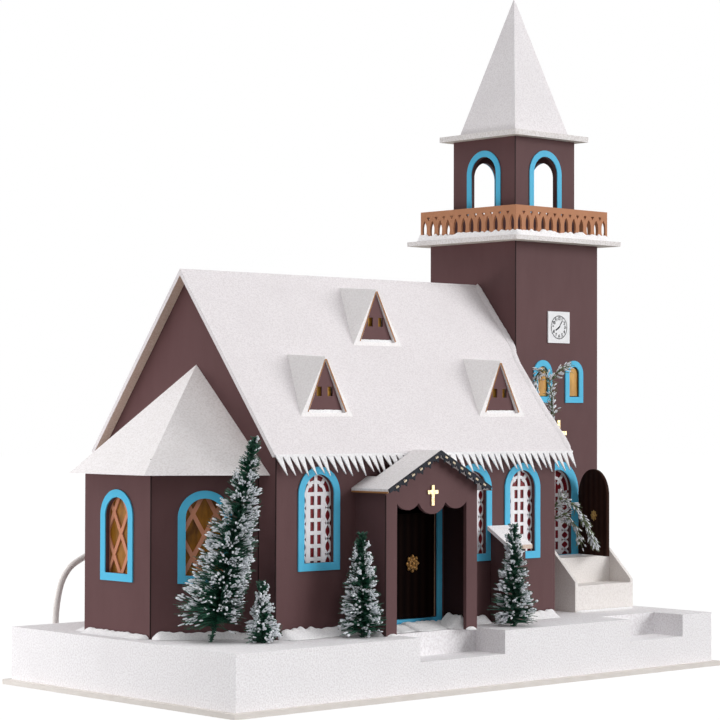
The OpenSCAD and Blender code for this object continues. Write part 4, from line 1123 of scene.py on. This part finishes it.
@dataclass
class Nave(Part):
    """The long room: brown walls, snowy roof, cut-paper windows and three dormers."""

    eave: float = 144.0
    slope: float = 101 / 81
    front: float = 44.5
    roof_v: float = 4.0
    dormers: tuple[Flat, ...] = ((187, 47.5), (114, 12.5), (261.5, 12.5))
    dormer_half: float = 16.5
    rake: tuple[Flat, ...] = (
        (305.9, -7), (307.3, 0), (305.2, 14), (305.0, 24), (305.4, 38), (308.5, 47)
    )
    joint: tuple[Flat, ...] = ((309.5, 44), (311.4, 48.5), (311.0, 82))
    ridge: tuple[Flat, ...] = ((60, 80.7), (314, 80.7))
    finishes = {
        BROWN: "nave_walls",
        SHADED_ROOF_SNOW: "main_roof",
        BLUE: "nave_frame_1 nave_frame_2 nave_frame_3",
        LOOSE_SNOW: "icicles_front",
        RED_FILM: "nave_pane",
        LIT_DORMER_SNOW: "dormer_roof_1 dormer_roof_2 dormer_roof_3",
        BROWN_GABLE: "dormer_gable_1 dormer_gable_2 dormer_gable_3",
    }

    def on_roof(self, x: float, back: float) -> Vector:
        """Returns the point of the front slope at x, back mm behind the nave's front."""
        return at(x, self.front + back, self.eave + back * self.slope + self.roof_v)

    def build(self) -> None:
        """Lays snow at the dormers' feet, along the right rake and on the ridge."""
        up, down = Vector((0, -0.78, 0.62)), Vector((0, -0.62, -0.78))
        for i, (x, back) in enumerate(self.dormers):
            foot = [self.on_roof(x + way * self.dormer_half, back + 1.0) for way in (-1, 1)]
            SnowBank(
                f"dormer_snow_{i + 1}", foot, down, 2.6, 1.7, 60 + i, up, 1.2, lift_mm=-0.3
            ).build()
            self.foil(i + 1, x, back)
        self.edges()
        rake, joint, ridge = (
            [self.on_roof(*p) for p in line] for line in (self.rake, self.joint, self.ridge)
        )
        curl = ((-1.1, -0.05), (-0.6, 0.6), (0.0, 1.0), (0.5, 0.7), (0.75, -0.6), (0.0, -0.3))
        SnowBank(
            "rake_snow", rake, RIGHT, 3.6, 0.9, 71, up, 1.4, 0.5,
            profile=(*curl, curl[0]), finish=SHADED_ROOF_SNOW,
        ).build()
        SnowBank("tower_joint_snow", joint, LEFT, 6.0, 1.3, 73, up, 1.4, finish=SHADED_ROOF_SNOW).build()
        SnowBank(
            "ridge_snow", ridge, down, 3.0, 0.7, 72, up, 2.0, lift_mm=-0.1, finish=SHADED_ROOF_SNOW
        ).build()

    def edges(self) -> None:
        """Shows the bare board's cut edges on both sides of each dormer's gable."""
        bm = bmesh.new()
        for x, back in self.dormers:
            foot = self.on_roof(x, back)
            for side, wide in ((-1, 0.5), (1, 0.8)):
                low = foot + Vector((side * (14.6 + wide / 2), -1.75, 0.6)) * MM
                high = foot + Vector((side * wide / 2, -0.3, 31.6)) * MM
                ribbon(bm, [low, high], wide * MM, FRONT)
        thicken(add_piece(bm, "dormer_edges", BOARD_EDGE), "board", 0.25)

    def foil(self, number: int, x: float, back: float) -> None:
        """Sets a scrap of crumpled amber foil behind a dormer's two little windows.

        Args:
            number: the dormer's number.
            x: its middle along the roof, in millimetres.
            back: how far it stands behind the nave's front, in millimetres.
        """
        bm = bmesh.new()
        middle = self.on_roof(x, back) + Vector((0, 2.9, 12.7)) * MM
        size = Matrix.Diagonal((13 * MM, 0.6 * MM, 7.4 * MM, 1))
        bmesh.ops.create_cube(bm, size=1, matrix=Matrix.Translation(middle) @ size)
        bmesh.ops.subdivide_edges(bm, edges=bm.edges, cuts=5, use_grid_fill=True)
        rng = random.Random(80 + number)
        for vert in bm.verts:
            vert.co.y += rng.uniform(-0.15, 0.15) * MM
        add_piece(bm, f"dormer_foil_{number}", AMBER_FOIL)


@dataclass
class Apse(Part):
    """The three-sided end with its crossed lattices over amber film."""

    finishes = {
        BROWN: "apse_walls",
        THIN_SNOW: "apse_roof",
        BLUE: "apse_frame_1 apse_frame_2",
        TAN: "apse_lattice_1 apse_lattice_2",
        AMBER_FILM: "apse_pane",
    }


@dataclass
class Porch(Part):
    """The gabled porch with lace on its rakes and a ribbed door inside it."""

    # where the dark sheets of painted shade stand against the porch's inner side walls
    shade_sheet_x: Flat = (129.2, 198.8)
    shade_sheet_y: float = 31.5
    shade_sheet_z: Flat = (35.0, 114.5)
    shade_sheet_w: float = 24.5
    peak: Place = (166.0, 12.25, 141.75)
    fall_deg: float = 27.5
    eyelets: int = 6
    eyelet_step: float = 7.2
    eyelet_half: float = 1.1
    eave_x: Flat = (123.4, 208.6)
    eave_y: Flat = (13.0, 44.2)
    eave_z: float = 117.7
    finishes = {
        BROWN: "porch_walls buttress",
        THIN_SNOW: "porch_roof buttress_cap",
        LACE: "porch_lace",
        GILT: "porch_cross",
        BLUE: "porch_door_frame",
        SHADED_PORCH_LEAF: "porch_door",
    }

    def build(self) -> None:
        """Hangs dark sheets of painted shade inside the porch, presses the door's flower and backs
        the lace's eyelets.
        """
        # the door's flower takes the darker gilt, painted shade of the porch
        Rosette("porch_rosette", "porch_leaf", (0.0, -1.0), 5.6, SHADED_GILT).build()
        # dark sheets on the inner side walls paint the shade that falls inside the porch
        bm = bmesh.new()
        for x, way in zip(self.shade_sheet_x, (RIGHT, LEFT)):
            ribbon(bm, [at(x, self.shade_sheet_y, z) for z in self.shade_sheet_z], self.shade_sheet_w * MM, way)
        thicken(add_piece(bm, "porch_painted_shade", PORCH_SHADE_SHEET), "paper", 0.2)
        bm = bmesh.new()
        fall = math.radians(self.fall_deg)
        for side in (-1, 1):
            along = Vector((side * math.cos(fall), 0, -math.sin(fall)))
            under = Vector((-side * math.sin(fall), 0, -math.cos(fall)))
            half = along * self.eyelet_half * MM
            for i in range(self.eyelets):
                reach = along * (i + 0.75) * self.eyelet_step
                spot = at(*self.peak) + (reach + under * 1.9) * MM
                ribbon(bm, [spot - half, spot + half], 1.05 * MM, FRONT)
        thicken(add_piece(bm, "lace_eyelets", CREAM), "board", 0.2)
        bm = bmesh.new()
        for x, way in zip(self.eave_x, (LEFT, RIGHT)):
            ribbon(bm, [at(x, y, self.eave_z) for y in self.eave_y], 1.0 * MM, way)
        thicken(add_piece(bm, "porch_eave_edges", BOARD_EDGE), "board", 0.2)


@dataclass
class Tower(Part):
    """The tower with its door, small windows and a printed clock dial."""

    dial: Place = (352.5, 90.6, 221.0)
    dial_r: float = 7.9
    hour: float = 7.9
    minute: float = 6.0
    number_mm: float = 2.9
    window_x: Flat = (337.2, 367.8)
    window_h: float = 19.2
    window_half: float = 4.35
    finishes = {
        BROWN: "tower_walls",
        BLUE: "tower_door_frame tower_frame_1 tower_frame_2",
        TOWER_FILM: "tower_pane",
        TOWER_LEAF: "tower_door",
        GILT: "tower_cross",
        CARD: "clock_card",
    }

    def build(self) -> None:
        """Prints the dial, presses the door's flower and glues foil in the small windows."""
        bm = bmesh.new()
        self.ring(bm, self.dial_r, 0.16)
        for i in range(60):
            self.stroke(bm, 90 - 6 * i, self.dial_r - 0.7, self.dial_r, 0.3 if i % 5 else 0.6)
        self.stroke(bm, 90 - 30 * self.hour, -1.2, 3.9, 0.9)
        self.stroke(bm, 90 - 6 * self.minute, -1.4, 5.6, 0.65)
        self.numbers(bm)
        stand = Matrix.Translation(at(*self.dial)) @ Matrix.Rotation(math.radians(90), 4, "X")
        bmesh.ops.transform(bm, matrix=stand, verts=bm.verts)
        bmesh.ops.recalc_face_normals(bm, faces=bm.faces)
        thicken(add_piece(bm, "clock_print", INK), "film", 0.04)
        Rosette("tower_rosette", "tower_leaf", (-0.966, 0.259), 3.9).build()
        self.foil()

    def foil(self) -> None:
        """Fills both small windows with amber foil just behind their frames."""
        bm = bmesh.new()
        half, spring = self.window_half, self.window_h - self.window_half
        for x in self.window_x:
            made = bmesh.ops.create_grid(bm, x_segments=1, y_segments=16, size=1)
            for vert in made["verts"]:
                z = (vert.co.y + 1) / 2 * self.window_h
                wide = half * math.sqrt(max(0.0, 1 - (max(0.0, z - spring) / half) ** 2))
                vert.co = at(x + vert.co.x * wide, 92.1, 175.2 + z)
        bmesh.ops.remove_doubles(bm, verts=bm.verts, dist=0.02 * MM)
        thicken(add_piece(bm, "small_window_foil", AMBER_FOIL), "sheet", 0.2)

    def ring(self, bm: Shape, radius: float, band: float) -> None:
        """Adds a flat ring by bridging two circles.

        Args:
            bm: the print so far.
            radius: the outer radius, in millimetres.
            band: the ring's width, in millimetres.
        """
        edges = []
        for r in (radius, radius - band):
            made = bmesh.ops.create_circle(bm, segments=64, radius=r * MM)
            edges += list({e for v in made["verts"] for e in v.link_edges})
        bmesh.ops.bridge_loops(bm, edges=edges)

    def stroke(self, bm: Shape, turn: float, start: float, end: float, width: float) -> None:
        """Adds a thin rectangle along a direction of the dial.

        Args:
            bm: the print so far.
            turn: the direction, in degrees.
            start: where it starts, in millimetres from the dial's middle.
            end: where it ends.
            width: its width, in millimetres.
        """
        matrix = (
            Matrix.Rotation(math.radians(turn), 4, "Z")
            @ Matrix.Translation(Vector(((start + end) / 2, 0, 0)) * MM)
            @ Matrix.Diagonal(((end - start) * MM / 2, width * MM / 2, 1, 1))
        )
        bmesh.ops.create_grid(bm, x_segments=1, y_segments=1, size=1, matrix=matrix)

    def numbers(self, bm: Shape) -> None:
        """Adds the numbers one to twelve round the dial, upright.

        Args:
            bm: the print so far.
        """
        for hour in range(1, 13):
            curve = bpy.data.curves.new(f"number_{hour}", "FONT")
            curve.body, curve.size = str(hour), self.number_mm * MM
            curve.offset = 0.08 * MM
            curve.align_x, curve.align_y = "CENTER", "CENTER"
            holder = bpy.data.objects.new(f"number_{hour}", curve)
            mesh = bpy.data.meshes.new_from_object(holder)
            angle = math.radians(90 - 30 * hour)
            radius = (self.dial_r - 2.1) * MM
            spot = Vector((math.cos(angle) * radius, math.sin(angle) * radius, 0))
            mesh.transform(Matrix.Translation(spot))
            bm.from_mesh(mesh)
            bpy.data.meshes.remove(mesh)
            bpy.data.objects.remove(holder)
            bpy.data.curves.remove(curve)


@dataclass
class Belfry(Part):
    """The open belfry on its gallery, with blue bands round the arches."""

    middle: Flat = (351.5, 131.5)
    deck: float = 280.0
    half: float = 29.0
    arch_w: float = 23.0
    arch_h: float = 41.5
    sill: float = 14.5
    band: float = 4.2
    rail: float = 44.8
    finishes = {
        DECK_SNOW: "gallery_deck belfry_cap",
        RAIL: "balustrade",
        BROWN: "belfry_walls",
        SHADED_SPIRE_SNOW: "spire",
    }

    def build(self) -> None:
        """Glues a blue band round each arch and banks snow round the balustrade."""
        bm = bmesh.new()
        for turn in range(4):
            self.add_band(bm, turn)
        bmesh.ops.recalc_face_normals(bm, faces=bm.faces)
        thicken(add_piece(bm, "arch_bands", BLUE), "paper", 0.6)
        centre = Vector((*self.middle, 0))
        for turn in range(4):
            spin = Matrix.Rotation(math.radians(90 * turn), 3, "Z")
            out = spin @ FRONT
            outer, inner = (
                [at(*(centre + spin @ Vector((x, y, self.deck)))) for x in (-reach, reach)]
                for reach, y in ((48.5, -self.rail - 0.1), (42, -self.rail + 1.7))
            )
            SnowBank(
                f"gallery_snow_{turn + 1}", outer, out, 5.2, 5.0, 90 + turn, step_mm=1.5, rough=0.35
            ).build()
            SnowBank(f"gallery_snow_in_{turn + 1}", inner, -out, 4.0, 4.4, 100 + turn).build()

    def add_band(self, bm: Shape, turn: int) -> None:
        """Adds the flat band of one arch: two arch lines, the outer one wider, bridged.

        Args:
            bm: the bands so far.
            turn: the belfry's side, in quarter turns.
        """
        place = (
            Matrix.Translation(at(*self.middle, self.deck + self.sill))
            @ Matrix.Rotation(math.radians(90 * turn), 4, "Z")
            @ Matrix.Translation(Vector((0, -self.half - 0.35, 0)) * MM)
            @ Matrix.Rotation(math.radians(90), 4, "X")
        )
        edges, spring = [], self.arch_h - self.arch_w / 2
        for grow in (0.0, self.band):
            radius = self.arch_w / 2 + grow
            line = [Vector((radius, 0, 0))]
            for step in range(25):
                a = math.pi * step / 24
                line.append(Vector((radius * math.cos(a), spring + radius * math.sin(a), 0)))
            line.append(Vector((-radius, 0, 0)))
            verts = [bm.verts.new(place @ (p * MM)) for p in line]
            edges += [bm.edges.new(pair) for pair in zip(verts, verts[1:])]
        bmesh.ops.bridge_loops(bm, edges=edges)


@dataclass
class Stair(Part):
    """The folded stair up to the tower door, with snow trodden on its landing."""

    landing: Place = (333, 383.5, 68.5)
    foot: Place = (329, 387, PLINTH_H)
    finishes = {SHADED_STAIR_SNOW: "stairs"}

    def build(self) -> None:
        """Leaves a ragged bank under the door and snow along the lowest step."""
        left, right, z = self.landing
        line = [at(x, 90.6, z) for x in (left, right)]
        SnowBank("landing_snow", line, FRONT, 9.0, 0.9, 120, rough=0.3).build()
        left, right, z = self.foot
        line = [at(x, 55, z) for x in (left, right)]
        SnowBank("stair_foot_snow", line, FRONT, 4.0, 1.4, 121).build()


@dataclass
class LampCord(Part):
    """The lamp in the back wall and its cord, coiled behind the church."""

    free: tuple[Place, ...] = (
        (95, 214.5, 78), (95, 222, 78), (93, 231, 78), (87, 236.5, 77), (78, 238, 74.5),
        (69, 238, 71), (60.5, 238, 66), (54.5, 238, 57.5), (51.5, 238, 47), (50, 238, 35),
        (50.5, 238, 22), (54, 238, 10.5), (61, 238, 4.5), (72, 237, 2.1), (90, 235, 2.1),
        (115, 233, 2.1), (145, 232, 2.1), (175, 232, 2.1), (192, 232, 2.1), (196, 232, 2.1),
    )
    coil_mid: Flat = (200.0, 261.0)
    coil_out: float = 28.8
    coil_step: float = 4.6
    coil_low: float = 2.1
    turns: int = 8
    tail: float = 36.0
    thick: float = 4.0
    finishes = {LAMP_PLASTIC: "lamp_holder", LAMP_GLASS: "bulb", PLUG_VINYL: "plug"}

    def smooth(self) -> list[Vector]:
        """Returns the free stretch as one smooth line through its points.

        Returns:
            Points in millimetres from the plinth's corner.
        """
        points = [Vector(p) for p in self.free]
        line = []
        for i, (p1, p2) in enumerate(zip(points, points[1:])):
            p0, p3 = points[max(i - 1, 0)], points[min(i + 2, len(points) - 1)]
            bend, twist = 2 * p0 - 5 * p1 + 4 * p2 - p3, 3 * p1 - p0 - 3 * p2 + p3
            for k in range(4):
                t = k / 4
                line.append(0.5 * (2 * p1 + (p2 - p0) * t + bend * t * t + twist * t**3))
        line.append(points[-1])
        for point in line:
            point.z = max(point.z, self.thick / 2 + 0.05)
        return line

    def coil(self) -> list[Vector]:
        """Returns the coil: in along the table, up a layer, and out again to the tail.

        Returns:
            Points in millimetres from the plinth's corner.
        """
        (mid_x, mid_y), back = self.coil_mid, self.turns / 2 - 0.25
        line = []
        for i in range(24 * self.turns + 1):
            n = i / 24
            radius = self.coil_out - self.coil_step * (back - abs(n - back))
            rise = min(1.0, max(0.0, 2 * (n - self.turns / 2 + 0.5)))
            a = math.radians(n * 360 - 90)
            x, y = mid_x + radius * math.cos(a), mid_y + radius * math.sin(a)
            line.append(Vector((x, y, self.coil_low + self.coil_step * rise)))
        end = self.coil_out - self.coil_step * (back - abs(self.turns - back))
        line.append(Vector((mid_x + self.tail, mid_y - end, line[-1].z)))
        return line

    def build(self) -> None:
        """Draws the cord as one curve, from the lamp to the plug."""
        points = [at(*p) for p in self.smooth() + self.coil()]
        curve = bpy.data.curves.new("lamp_cord", "CURVE")
        curve.dimensions = "3D"
        curve.bevel_depth, curve.bevel_resolution = self.thick / 2 * MM, 3
        curve.use_fill_caps = True
        spline = curve.splines.new("POLY")
        spline.points.add(len(points) - 1)
        for spot, point in zip(spline.points, points):
            spot.co = (*point, 1)
        spline.use_smooth = True
        curve.materials.append(CORD_VINYL.material())
        cord = bpy.data.objects.new("lamp_cord", curve)
        bpy.context.scene.collection.objects.link(cord)
        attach(cord, BODY)
        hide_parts("cord", "cord_coil")


@dataclass
class Portrait:
    """The photograph's camera, a white floor and plain soft light."""

    spot: Place = (-0.99018, -1.06648, 0.16397)
    azimuth: float = -42.48
    tilt: float = -1.292
    roll: float = 0.147
    lens: float = 115.884
    fill: float = 0.2
    floor_drop: float = 0.0003
    floor_grey: float = 0.5
    floor_glow: float = 1.17
    glow_share: float = 0.8
    suns: tuple[tuple[str, Place, float, float], ...] = (
        ("key", (0.64, -0.73, 0.2), 2.6, 40),
        ("top", (-0.25, -0.2, 0.93), 1.3, 60),
        ("back_fill", (-0.2, 0.9, 0.35), 1.0, 60),
    )
    box_spot: Place = (-0.55, 0.33, 0.03)
    box_aim: Place = (-0.19, 0.0, 0.03)
    box_size: Flat = (0.5, 0.3)
    box_power: float = 2.8

    def camera(self) -> None:
        """Sets the camera where the photograph was taken from."""
        az, el, ro = (math.radians(v) for v in (self.azimuth, self.tilt, self.roll))
        flat = math.cos(el)
        back = Vector((math.sin(az) * flat, -math.cos(az) * flat, math.sin(el)))
        side = Vector((math.cos(az), math.sin(az), 0))
        top = side.cross(-back)
        right = side * math.cos(ro) + top * math.sin(ro)
        up = -side * math.sin(ro) + top * math.cos(ro)
        data = bpy.data.cameras.new("portrait")
        data.lens, data.sensor_width = self.lens, 36.0
        data.clip_start, data.clip_end = 0.05, 50.0
        camera = bpy.data.objects.new("portrait", data)
        turn = Matrix((right, up, back)).transposed().to_4x4()
        camera.matrix_world = Matrix.Translation(Vector(self.spot)) @ turn
        bpy.context.scene.collection.objects.link(camera)
        bpy.context.scene.camera = camera

    def floor(self) -> None:
        """Lays a white floor that the camera sees as white, with the church's shadow."""
        bm = bmesh.new()
        bmesh.ops.create_grid(bm, x_segments=1, y_segments=1, size=6)
        bmesh.ops.translate(bm, verts=bm.verts, vec=(0, 0, -self.floor_drop))
        mesh = bpy.data.meshes.new("studio_floor")
        bm.to_mesh(mesh)
        bm.free()
        made = bpy.data.materials.new("white_paper_sweep")
        made.use_nodes = True
        made.node_tree.nodes.clear()
        add = partial(add_node, made.node_tree)
        paper = add("BsdfDiffuse", {"Color": (*(self.floor_grey,) * 3, 1.0)})
        glow = add("Emission", {"Strength": self.floor_glow})
        share = add("Math", {0: self.seen(add), 1: self.glow_share}, operation="MULTIPLY")
        add("OutputMaterial", {0: add("MixShader", {0: share, 1: paper, 2: glow})})
        mesh.materials.append(made)
        obj = bpy.data.objects.new("studio_floor", mesh)
        bpy.context.scene.collection.objects.link(obj)

    def seen(self, add: Add) -> Socket:
        """Returns 1 for rays from the camera, in a reflection or through glass.

        Args:
            add: adds a node to the floor's material or to the world.

        Returns:
            That share's socket.
        """
        total = add("LightPath", out="Is Camera Ray")
        for name in ("Is Glossy Ray", "Is Transmission Ray"):
            ray = add("LightPath", out=name)
            total = add("Math", {0: total, 1: ray}, operation="MAXIMUM")
        return total

    def light(self) -> None:
        """Lights the church from the right, from above and from a near lamp on the left."""
        world = bpy.context.scene.world = bpy.data.worlds.new("studio")
        world.use_nodes = True
        world.node_tree.nodes.clear()
        add = partial(add_node, world.node_tree)
        even, white = (
            add("Background", {"Color": (1.0, 1.0, 1.0, 1.0), "Strength": strength})
            for strength in (self.fill, 1.0)
        )
        add("OutputWorld", {0: add("MixShader", {0: self.seen(add), 1: even, 2: white})})
        for name, way, strength, soft in self.suns:
            data = bpy.data.lights.new(name, "SUN")
            data.energy, data.angle = strength, math.radians(soft)
            self.hang(name, data, Vector((0, 0, 0)), Vector(way))
        data = bpy.data.lights.new("left_box", "AREA")
        data.energy, data.shape = self.box_power, "RECTANGLE"
        data.size, data.size_y = self.box_size
        spot = Vector(self.box_spot)
        lamp = self.hang("left_box", data, spot, spot - Vector(self.box_aim))
        lamp.visible_glossy = False

    def hang(self, name: str, data: bpy.types.Light, spot: Vector, way: Vector) -> Piece:
        """Returns a lamp hung at spot, with its light coming from the direction way.

        Args:
            name: the lamp's name.
            data: its light.
            spot: where it hangs, in metres.
            way: the direction that its light comes from.

        Returns:
            The lamp.
        """
        lamp = bpy.data.objects.new(name, data)
        lamp.location = spot
        lamp.rotation_mode = "QUATERNION"
        lamp.rotation_quaternion = way.to_track_quat("Z", "Y")
        lamp.visible_camera = False
        bpy.context.scene.collection.objects.link(lamp)
        return lamp

    def build(self) -> None:
        """Sets up the camera, floor and light."""
        self.camera()
        self.floor()
        self.light()


TREES: tuple[BrushTree, ...] = (
    BrushTree(
        1, (31, 60), (14, -22), 115.5, 28, ((56, 17.5), (-51, 15)), 400, 0.62, 0.1, 9.0, taper=0.88
    ),
    BrushTree(
        2, (49.5, 37), (0, 0), 34, 12.5, ((90, 20),), 90, 0.8, 0.04, 6.0, thick_mm=0.4, clump=1.2
    ),
    BrushTree(
        3, (113.5, 23.5), (-1, 0), 59.5, 16, ((0, 11.5), (90, 19)), 180, 0.62, 0.05, 7.5,
        thick_mm=0.36, clump=1.15,
    ),
    BrushTree(
        4, (230, 15), (0, 0), 61, 16, ((50, 15), (90, 12)), 180, 0.58, 0.05, 7.5,
        thick_mm=0.36, clump=1.15,
    ),
)


def main() -> None:
    """Builds and dresses the church, part by part."""
    logging.basicConfig(level=logging.INFO, format="%(message)s")
    bpy.context.scene.view_settings.view_transform = "Standard"
    Portrait().build()
    for part in (LampCord(), Plinth(), Nave(), Apse(), Porch(), Tower(), Belfry(), Stair()):
        part.dress()
        part.build()
    for piece in (*TRACERIES, Joints(), *TREES, WeepingTree()):
        piece.build()


if __name__ == "__main__":
    main()
